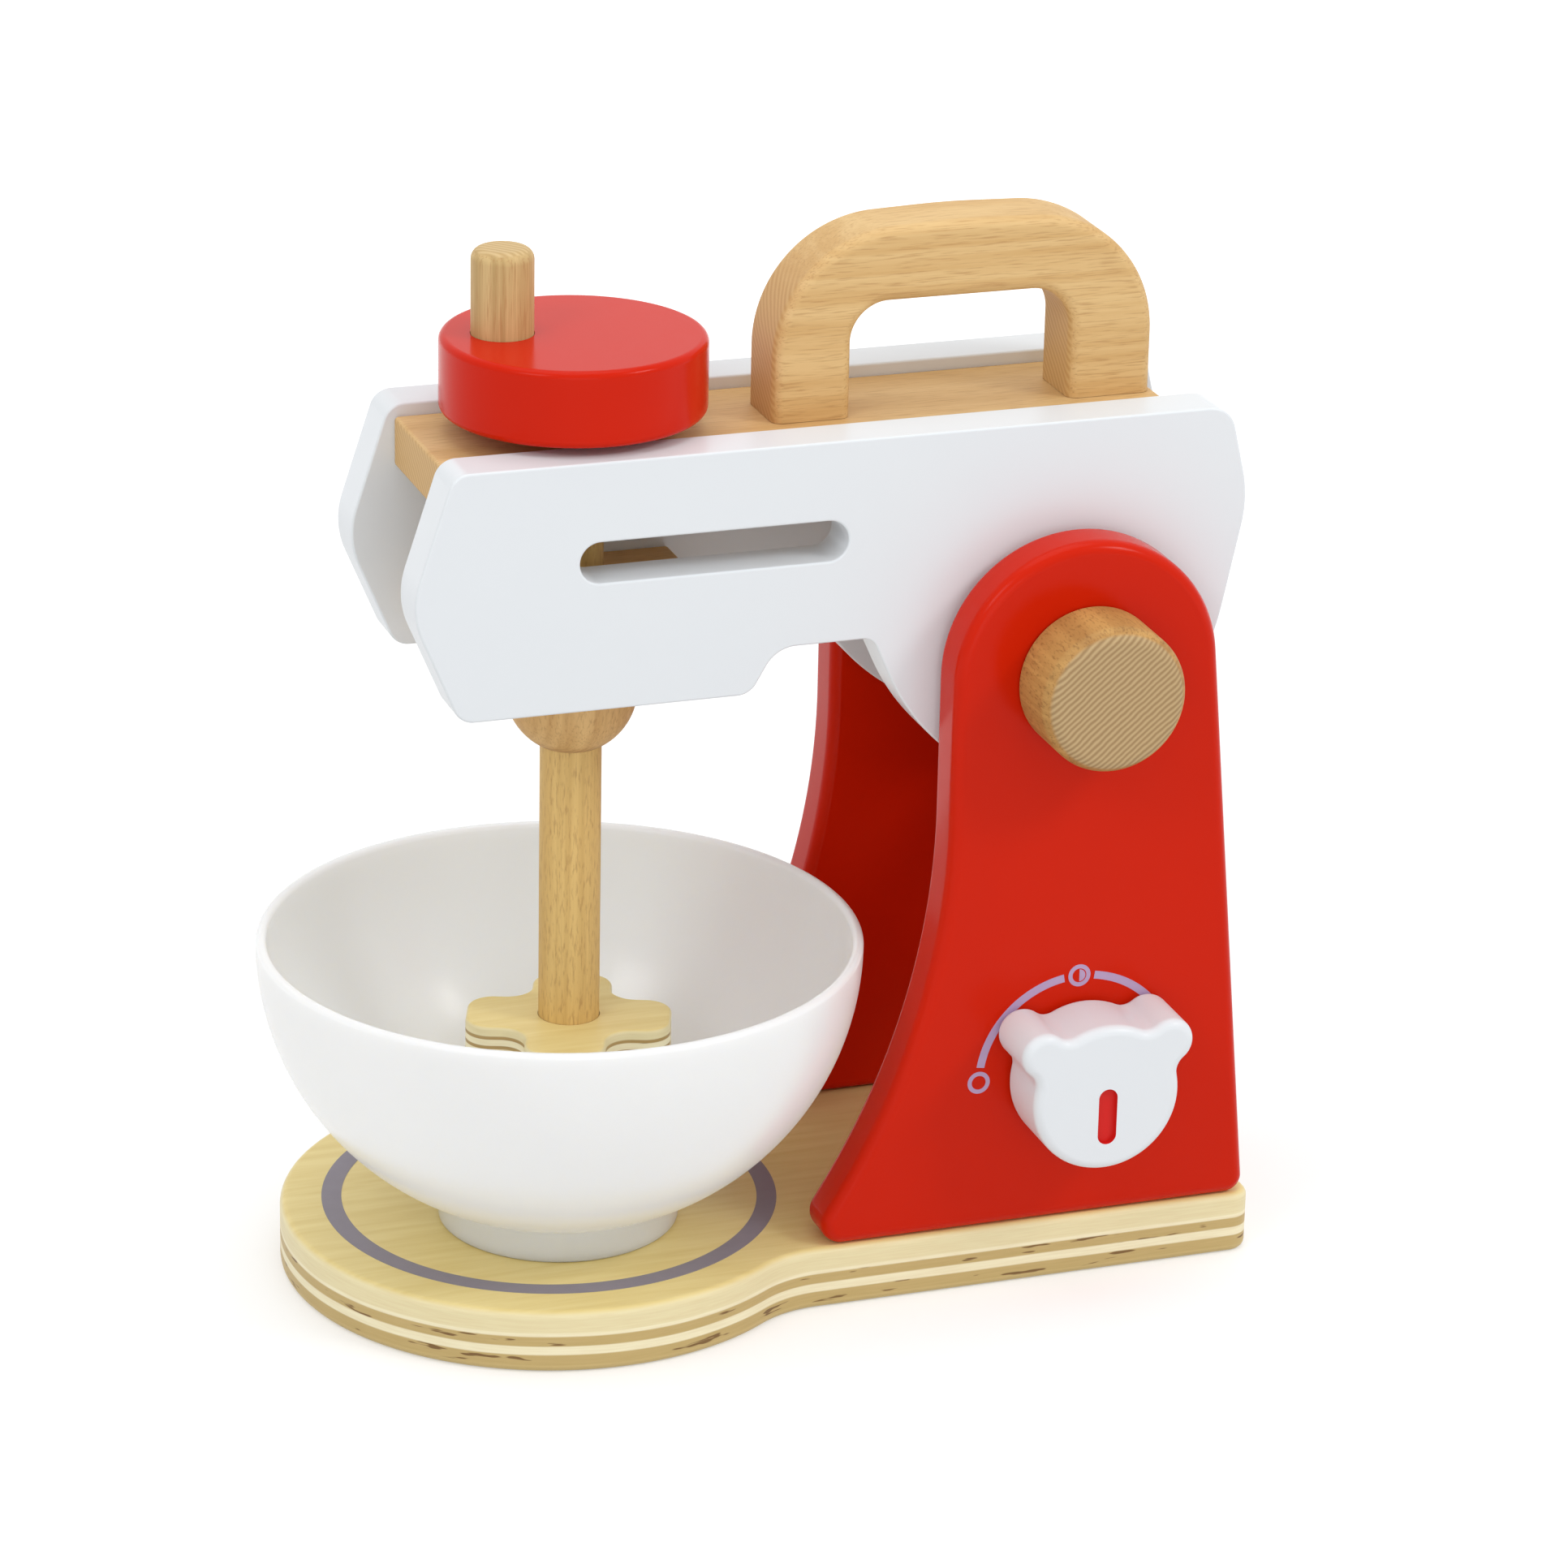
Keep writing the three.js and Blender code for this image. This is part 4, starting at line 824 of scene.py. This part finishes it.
peg = round_bar("crank_handle_peg", DOWEL, (*PEG, PEG_FOOT), (*PEG, PEG_TOP), sides=64)
round_end(peg, PEG_ROUNDING, lambda place: place.z > (PEG_TOP - 0.1) * MM)
SPACER_RADIUS, SPACER_BOTTOM, SPACER_TOP = 11, PLATE_TOP + 0.3, WHEEL_BOTTOM - 0.1
spacer = round_bar("disc_washer", SPACER_RADIUS, (0, 0, SPACER_BOTTOM), (0, 0, SPACER_TOP))
round_over(spacer, 0.6, segments=3)
drill_for_shaft(spacer, GLUED_BORE, SPACER_BOTTOM - PAST, SPACER_TOP + PAST)
shaft = round_bar("beater_rod", DOWEL, (0, 0, BEATER_BOTTOM + 3), (0, 0, SHAFT_TOP))
round_over(shaft, 0.8, segments=3)
complete(peg, beech_dowel_peg, "crank", "crank_peg")
complete(spacer, beech_turned_ball, "crank", "disc_spacer")
complete(shaft, beech_dowel_shaft, "crank", "beater_shaft")

# %% [markdown]
# The collar under the head is a wooden ball, sawn flat above its middle and bored for the shaft. A
# sphere is bisected and its cut filled, as on the saw.

# %% Shaft collar
COLLAR_RADIUS, COLLAR_MIDDLE, COLLAR_FLAT = 15, 139.8, 148.9
bpy.ops.mesh.primitive_uv_sphere_add(
    segments=96, ring_count=48, radius=COLLAR_RADIUS * MM, location=(0, 0, COLLAR_MIDDLE * MM))
collar = added("shaft_ball")
saw_off(collar, COLLAR_FLAT, above=True)
drill_for_shaft(collar, GLUED_BORE, COLLAR_MIDDLE - COLLAR_RADIUS - PAST, COLLAR_FLAT + PAST)
round_over(collar, 0.5, segments=2, sharper_than=30)
complete(collar, beech_turned_ball, "crank", "shaft_collar")

# %% [markdown]
# ## Beater
#
# A cross with four short arms, sawn from thinner plywood. Its corners are written for one arm and
# turned by quarters, and the whole cross stands a little askew, as it was glued.

# %% Beater
ARM_REACH, ARM_HALF, ARM_ROUND, ASKEW = 23.5, 9.2, 6, -20
one_arm = [(ARM_REACH, -ARM_HALF, ARM_ROUND), (ARM_REACH, ARM_HALF, ARM_ROUND),
           (ARM_HALF, ARM_HALF, ARM_ROUND)]
beater_corners = []
for quarter in range(4):
    turn = Matrix.Rotation(math.radians(90 * quarter + ASKEW), 2)
    beater_corners += [(*(turn @ Vector((x, y))), radius) for x, y, radius in one_arm]
beater = sawn_board("beater_plywood", rounded_corners(beater_corners), "lying",
                    BEATER_BOTTOM, BEATER_THICKNESS)
round_over(beater, 1)
drill_for_shaft(
    beater, GLUED_BORE, BEATER_BOTTOM + 2.5, BEATER_BOTTOM + BEATER_THICKNESS + PAST)
complete(beater, plywood_beater, "crank", "beater_cross")

# %% [markdown]
# ## Mixing bowl
#
# A bowl is one profile turned about its middle: from under the foot, up the outside in one long
# arc, over the round lip, and down the inside to the floor. The pen draws the profile once and one
# spin of a full turn closes it.

# %% Turning a profile
def turned(name, strokes, x, y, steps):
    """Draw a profile from its axis round to its axis again, and spin it a full turn."""
    piece = draw_path(name, strokes, "standing", y)
    bpy.ops.mesh.select_all(action='SELECT')
    bpy.ops.mesh.spin(steps=steps, angle=math.tau, center=(x * MM, y * MM, 0), axis=(0, 0, 1))
    bpy.ops.mesh.select_all(action='SELECT')
    bpy.ops.mesh.remove_doubles(threshold=0.005 * MM)
    face_outwards()
    return piece


# %% Mixing bowl
BOWL_MIDDLE, BOWL_BOTTOM = Vector((-5.3, -9.9)), 15.1
CURVE_RADIUS, RIM_RADIUS, WALL = 65.4, 68.75, 2.5
FOOT_RADIUS, FOOT_WALL, FOOT_TOP, RECESS_TOP = 27.6, 3.5, BOWL_BOTTOM + 8, BOWL_BOTTOM + 7.2
SPRING = BOWL_BOTTOM + 69.65 - WALL / 2
FLOOR = BOWL_BOTTOM + 10
curve_middle = Vector((BOWL_MIDDLE.x + RIM_RADIUS - CURVE_RADIUS, SPRING))
foot_angle = math.degrees(math.asin((SPRING - FOOT_TOP) / CURVE_RADIUS))
floor_angle = math.degrees(math.asin((SPRING - FLOOR) / (CURVE_RADIUS - WALL)))
curve_start = on_circle(curve_middle, CURVE_RADIUS, -foot_angle)
foot_out = BOWL_MIDDLE.x + FOOT_RADIUS
foot_in = foot_out - FOOT_WALL
bowl_strokes = [
    ("to", (BOWL_MIDDLE.x, RECESS_TOP)),
    ("to", (foot_in, RECESS_TOP)),
    ("to", (foot_in, BOWL_BOTTOM)),
    ("to", (foot_out, BOWL_BOTTOM)),
    ("to", (foot_out, FOOT_TOP)),
    ("to", curve_start),
    ("about", curve_middle, foot_angle),
    ("about", (BOWL_MIDDLE.x + RIM_RADIUS - WALL / 2, SPRING), 180),
    ("about", curve_middle, -floor_angle),
    ("to", (BOWL_MIDDLE.x, FLOOR)),
]
bowl = turned("bowl_moulded", bowl_strokes, *BOWL_MIDDLE, steps=144)
round_over(bowl, 0.6, segments=3, sharper_than=25)
complete(bowl, melamine_moulded_white, "bowl", "mixing_bowl")

# %% [markdown]
# ## Tilt axle, knobs and washers
#
# The head tilts on a dowel with a turned knob glued on each end. The knobs are sawn from bar, so
# their faces are end grain with the year rings running across.

# %% Axle, knobs and washers
AXLE_REACH, KNOB_RADIUS, KNOB_IN, KNOB_OUT = 57.8, 17, 46.8, 63.8
WASHER_RADIUS, WASHER_IN, WASHER_OUT = 13, 32.3, 33.7


def bar_on_axle(name, radius, start, end, sides=96):
    """A round bar along Y, on the axle's line."""
    return round_bar(name, radius, (AXLE.x, start, AXLE.y), (AXLE.x, end, AXLE.y), sides)


axle_rod = bar_on_axle("axle_rod", DOWEL, -AXLE_REACH, AXLE_REACH)
round_over(axle_rod, 0.8, segments=3)
complete(axle_rod, beech_dowel_across, "head", "tilt_axle")
near_knob = bar_on_axle("axle_end_near", KNOB_RADIUS, -KNOB_IN, -KNOB_OUT, sides=128)
round_end(near_knob, 3.5, lambda place: place.y < (0.01 - KNOB_OUT) * MM)
round_over(near_knob, 0.5, segments=2)
drill_for_axle(near_knob, GLUED_BORE, PAST - KNOB_IN, -AXLE_REACH - 0.5)
complete_pair(near_knob, beech_turned_knob, "head", "axle_knob")
near_washer = bar_on_axle("axle_ring_near", WASHER_RADIUS, -WASHER_IN, -WASHER_OUT)
round_over(near_washer, 0.3, segments=2)
drill_for_axle(near_washer, TURNING_BORE, PAST - WASHER_IN, -WASHER_OUT - PAST)
complete_pair(near_washer, beech_dowel_across, "head", "axle_washer")

# %% [markdown]
# ## Dial knob
#
# The dial is a disc with two round ears, each joined to it by small hollows, so its outline is
# eight arcs. The centres of disc, ear and hollow make a triangle, whose angles give the turns.

# %% Dial knob
DIAL = Vector((107.6, 52.4))
DIAL_RADIUS, HOLLOW_RADIUS, EAR_RADIUS, EAR_OFFSET, EAR_ANGLE = 17.6, 4, 5.5, 19.3, 38
DIAL_BACK, DIAL_FACE = 46.8, 64.8


def corner_angle(opposite, one, other):
    """The angle between two sides of a triangle, from its three sides."""
    return math.degrees(math.acos((one ** 2 + other ** 2 - opposite ** 2) / (2 * one * other)))


hollow_out, hollow_to_ear = DIAL_RADIUS + HOLLOW_RADIUS, EAR_RADIUS + HOLLOW_RADIUS
spread = corner_angle(hollow_to_ear, EAR_OFFSET, hollow_out)
hollow_turn = corner_angle(EAR_OFFSET, hollow_out, hollow_to_ear)
ear_turn = 360 - 2 * corner_angle(hollow_out, EAR_OFFSET, hollow_to_ear)
dial_strokes = [("to", on_circle(DIAL, DIAL_RADIUS, EAR_ANGLE - spread))]
for ear_angle, rim_turn in (
        (EAR_ANGLE, 180 - 2 * (EAR_ANGLE + spread)),
        (180 - EAR_ANGLE, 180 + 2 * (EAR_ANGLE - spread))):
    dial_strokes += [
        ("about", on_circle(DIAL, hollow_out, ear_angle - spread), -hollow_turn),
        ("about", on_circle(DIAL, EAR_OFFSET, ear_angle), ear_turn),
        ("about", on_circle(DIAL, hollow_out, ear_angle + spread), -hollow_turn),
        ("about", DIAL, rim_turn),
    ]
dial = sawn_board("dial_turned", dial_strokes, "standing", -DIAL_FACE, DIAL_FACE - DIAL_BACK)
round_over(dial, 2.2, segments=6)
print("each ear takes", round(ear_turn), "degrees of arc")

# %% [markdown]
# A round-ended groove is cut in the dial's face as its pointer, and painted red.

# %% Pointer, and the bore for the dial's screw
POINTER_RADIUS, POINTER_REACH, POINTER_DEPTH, NEAR = 2.25, 4.55, 1.2, 0.1
pointer = DIAL - Vector((0, 4.3))
reach = Vector((0, POINTER_REACH))
groove_strokes = round_ended(pointer - reach, pointer + reach, POINTER_RADIUS)
cut_away(dial, sawn_board(
    "groove_cutter", groove_strokes, "standing", -DIAL_FACE - PAST, PAST + POINTER_DEPTH))
SCREW_BORE, SCREW_DEPTH = 2.15, 12.5
drill(dial, SCREW_BORE, (DIAL.x, PAST - DIAL_BACK, DIAL.y),
      (DIAL.x, -DIAL_BACK - SCREW_DEPTH, DIAL.y))
smooth(dial)
dress(dial, lacquer_sprayed_white, lacquer_brushed_red)
painted = 0
for face in dial.data.polygons:
    middle = face.center * 1000
    in_depth = NEAR < middle.y + DIAL_FACE < POINTER_DEPTH + NEAR
    in_width = abs(middle.x - pointer.x) < POINTER_RADIUS + NEAR
    in_length = abs(middle.z - pointer.y) < POINTER_REACH + POINTER_RADIUS + NEAR
    if in_depth and in_width and in_length:
        face.material_index = 1
        painted += 1
print("faces painted red in the groove:", painted)
hand_over(dial, "dial", ["dial_knob"])

# %% [markdown]
# ## Printed marks
#
# A scale of arcs and small circles is printed round the dial, and a ring on the base shows where
# the bowl goes. Ink could be painted by the shader, but films of their own keep a crisp edge at any
# distance. Each is 0.06 mm thick.

# %% A film of ink
INK = 0.06


def ink_ring(name, centre, inner, outer, start=0, turn=360, plane="standing",
             level=-STAND_OUT - INK):
    """An arc of ink between two radii, closed to a whole ring by a full turn."""
    strokes = [("to", on_circle(centre, radius, start)) for radius in (inner, outer)]
    place, axis = FLAT_PLANES[plane]
    piece = draw_path(name, strokes, plane, level)
    bpy.ops.mesh.select_all(action='SELECT')
    bpy.ops.mesh.spin(steps=arc_steps(outer, turn), angle=math.radians(turn),
                      center=place(*centre, level) * MM, axis=axis)
    bpy.ops.mesh.select_all(action='SELECT')
    bpy.ops.mesh.remove_doubles(threshold=0.002 * MM)
    bpy.ops.mesh.extrude_region_move(TRANSFORM_OT_translate={"value": place(0, 0, INK) * MM})
    face_outwards()
    return piece


# %% [markdown]
# The scale has three marks: a filled circle, a half-filled one and an empty one, with an arc
# between each two of them that stops a millimetre short of their rims.

# %% The dial's scale, and the bowl's ring
SCALE_MIDDLE, SCALE_RADIUS, ARC_HALF = Vector((106.9, 51.8)), 23.7, 0.95
MARK_RADIUS, MARK_LINE, INSIDE = 2.7, 1.0, 1.45
MARKS = {"full": 12, "half": 90, "empty": 180}
clear = math.degrees((MARK_RADIUS + 1) / SCALE_RADIUS)
scale_pieces = []
for lower, upper in (("full", "half"), ("half", "empty")):
    start, end = MARKS[lower] + clear, MARKS[upper] - clear
    scale_pieces.append(ink_ring(
        f"scale_arc_{upper}", SCALE_MIDDLE, SCALE_RADIUS - ARC_HALF, SCALE_RADIUS + ARC_HALF,
        start, end - start))
full, half, empty = (on_circle(SCALE_MIDDLE, SCALE_RADIUS, at) for at in MARKS.values())
for mark, middle in zip(MARKS, (full, half, empty)):
    scale_pieces.append(ink_ring(
        f"scale_circle_{mark}", middle, MARK_RADIUS - MARK_LINE, MARK_RADIUS))
scale_pieces.append(ink_ring("scale_dot_full", full, 0, INSIDE))
scale_pieces.append(ink_ring("scale_dot_half", half, 0, INSIDE, -90, 180))
for piece in scale_pieces:
    dress(piece, ink_printed_lilac)
    hand_over(piece, "stand")

bowl_ring = ink_ring(
    "bowl_place_ring", DISC_CENTRE, 48.1, 52.7, plane="lying", level=BASE_THICKNESS)
dress(bowl_ring, ink_printed_grey)
hand_over(bowl_ring, "stand")

# %% [markdown]
# ## Screws
#
# Countersunk screws hold the stand to its base and the handle to its plate. One is turned from its
# profile and given its cross recess, and the others are copies of it, each with its own mesh.

# %% One countersunk screw, and a copy for each
SCREW_HEAD, SCREW_SHANK = 4.2, 2.0


def turned_screw(name, profile, place):
    """Turn a profile of (radius, height) at a place, and cut a cross in its head."""
    strokes = [("to", (place.x + radius, place.z + height)) for radius, height in profile]
    screw = turned(name, strokes, place.x, place.y, steps=48)
    for long_x, long_y in ((2.4, 0.45), (0.45, 2.4)):
        cut_away(screw, planed_block(
            "bit", (place.x - long_x, place.y - long_y, place.z - 1),
            (place.x + long_x, place.y + long_y, place.z + 1.6)))
    round_over(screw, 0.15, segments=1)
    return screw


def foot_and_height(node):
    """The middle of a solid's underside and its height, in millimetres."""
    low, high = (Vector(corner) * 1000 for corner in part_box(node))
    return Vector(((low.x + high.x) / 2, (low.y + high.y) / 2, low.z)), high.z - low.z


first_place, first_length = foot_and_height("base_screw_front_near")
countersunk = turned_screw("screw_first", [
    (0, 0), (SCREW_HEAD, 0), (SCREW_HEAD, 0.8), (SCREW_SHANK, 3.0),
    (SCREW_SHANK, first_length - SCREW_SHANK), (0, first_length)], first_place)
smooth(countersunk)
dress(countersunk, steel_zinc_plated)
screw_nodes = [f"base_screw_{end}_{side}" for end in ("front", "rear") for side in ("near", "far")]
for node in screw_nodes + ["handle_screw_front", "handle_screw_rear"]:
    shift = foot_and_height(node)[0] - first_place
    screw = copied(countersunk, node.replace("screw", "fixing"), shift)
    hand_over(screw, "stand" if node.startswith("base") else "head", [node])
bpy.data.objects.remove(countersunk)

# %% [markdown]
# The small dowels in the glued joints lie out of sight, so their imported solids stay, and only take
# the finish of beech dowel. The dial's washer and its screw, seen only from behind, stay as well,
# and take the finish of zinc-plated steel.

# %% Finishes for the solids that stay
for node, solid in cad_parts.items():
    if "dowel" in node:
        dress(solid, beech_dowel_across)
    elif node in ("dial_screw", "dial_washer"):
        dress(solid, steel_zinc_plated)

# %% [markdown]
# ## Floor and background
#
# The toy stands on a sheet of plain paper, matt and pale, that runs off into a white room. The
# white comes from the paper's and the room's own glow, and only where the camera looks, straight,
# off a glossy surface or through glass. So the lamps can stay at a plain level, colours render as
# they are written, and the paper keeps the toy's shadow. The glow grows with the distance from the
# toy, which hides the paper's far edge.

# %% Paper floor and white room
def in_sight(owner):
    """1 where the camera looks, straight, off a gloss or through glass; 0 for light in the room."""
    ray = add_node(owner, "LightPath")
    seen_or_mirrored = add_node(owner, "Math", [
        (0, ray.outputs["Is Camera Ray"]), (1, ray.outputs["Is Glossy Ray"])], operation='MAXIMUM')
    return add_node(owner, "Math", [
        (0, seen_or_mirrored), (1, ray.outputs["Is Transmission Ray"])], operation='MAXIMUM')


bpy.ops.mesh.primitive_plane_add(size=8)
floor = added("floor")
paper, paper_shader, on_floor = new_material("paper_matt_white")
away = add_node(paper, "VectorMath", [(0, on_floor.outputs["Object"])], operation='LENGTH')
glow = ranged(paper, away.outputs["Value"], (0.4, 1.6), (0.35, 1))
seen_glow = add_node(paper, "Math", [(0, in_sight(paper)), (1, glow)], operation='MULTIPLY')
fill_inputs(paper, paper_shader, [
    ("Base Color", "#D9D9D9"), ("Roughness", 0.9),
    ("Emission Color", (1, 1, 1, 1)), ("Emission Strength", seen_glow)])
dress(floor, paper)

room = bpy.data.worlds.new("soft_room")
bpy.context.scene.world = room
room.use_nodes = True
walls = room.node_tree.nodes["Background"]
brightness = ranged(room, in_sight(room), (0, 1), (0.75, 1))
fill_inputs(room, walls, [("Color", (1, 1, 1, 1)), ("Strength", brightness)])
print("the floor is", round(floor.dimensions.x), "m wide")

# %% [markdown]
# ## Soft light
#
# Large square lamps give the soft shadow and the broad highlights of a catalogue picture. The key
# comes from above on the right, a weaker one from the left, a wide one from the top, and a faint
# one low in front lights the bowl's foot and the edge of the base, as a white card would there.

# %% Soft lamps
def soft_lamp(name, place, size, power):
    """A large square lamp that faces the toy: metres and watts."""
    place = Vector(place)
    aim = (TOY_MIDDLE - place).to_track_quat('-Z', 'Y').to_euler()
    bpy.ops.object.light_add(type='AREA', location=place, rotation=aim)
    lamp = bpy.context.object
    lamp.name = name
    lamp.data.size = size
    lamp.data.energy = power


TOY_MIDDLE = Vector((0.04, 0, 0.1))
soft_lamp("key_above_right", (1.3, -1.1, 1.5), 0.5, 9.5)
soft_lamp("fill_above_left", (-1.3, -0.9, 1.5), 0.7, 6)
soft_lamp("low_front", (-0.4, -1.7, 0.35), 1.0, 3)
soft_lamp("top", (0, 0.1, 2.2), 1.6, 11)

# %% [markdown]
# ## Camera
#
# The camera looks along the photograph's line of sight. It is turned about the toy and raised by
# the angles that fitted the toy's edges best, rolled by a degree, and moved back to its distance.

# %% Camera
VIEW_TURN, VIEW_HEIGHT, VIEW_ROLL = -19.604, 21.399, 1.241
VIEW_DISTANCE, VIEW_TARGET, LENS = 1366.27 * MM, Vector((51.224, 0, 110.766)) * MM, 136.97
view = Matrix.Translation(VIEW_TARGET)
for degrees, axis in ((VIEW_TURN, 'Z'), (90 - VIEW_HEIGHT, 'X'), (VIEW_ROLL, 'Z')):
    view @= Matrix.Rotation(math.radians(degrees), 4, axis)
bpy.ops.object.camera_add()
camera = bpy.context.object
camera.matrix_world = view @ Matrix.Translation((0, 0, VIEW_DISTANCE))
camera.data.sensor_width = 36
camera.data.lens = LENS
camera.data.clip_end = 50
bpy.context.scene.camera = camera
bpy.context.scene.view_settings.view_transform = 'Standard'
print("camera at", [round(value, 3) for value in camera.matrix_world.translation])
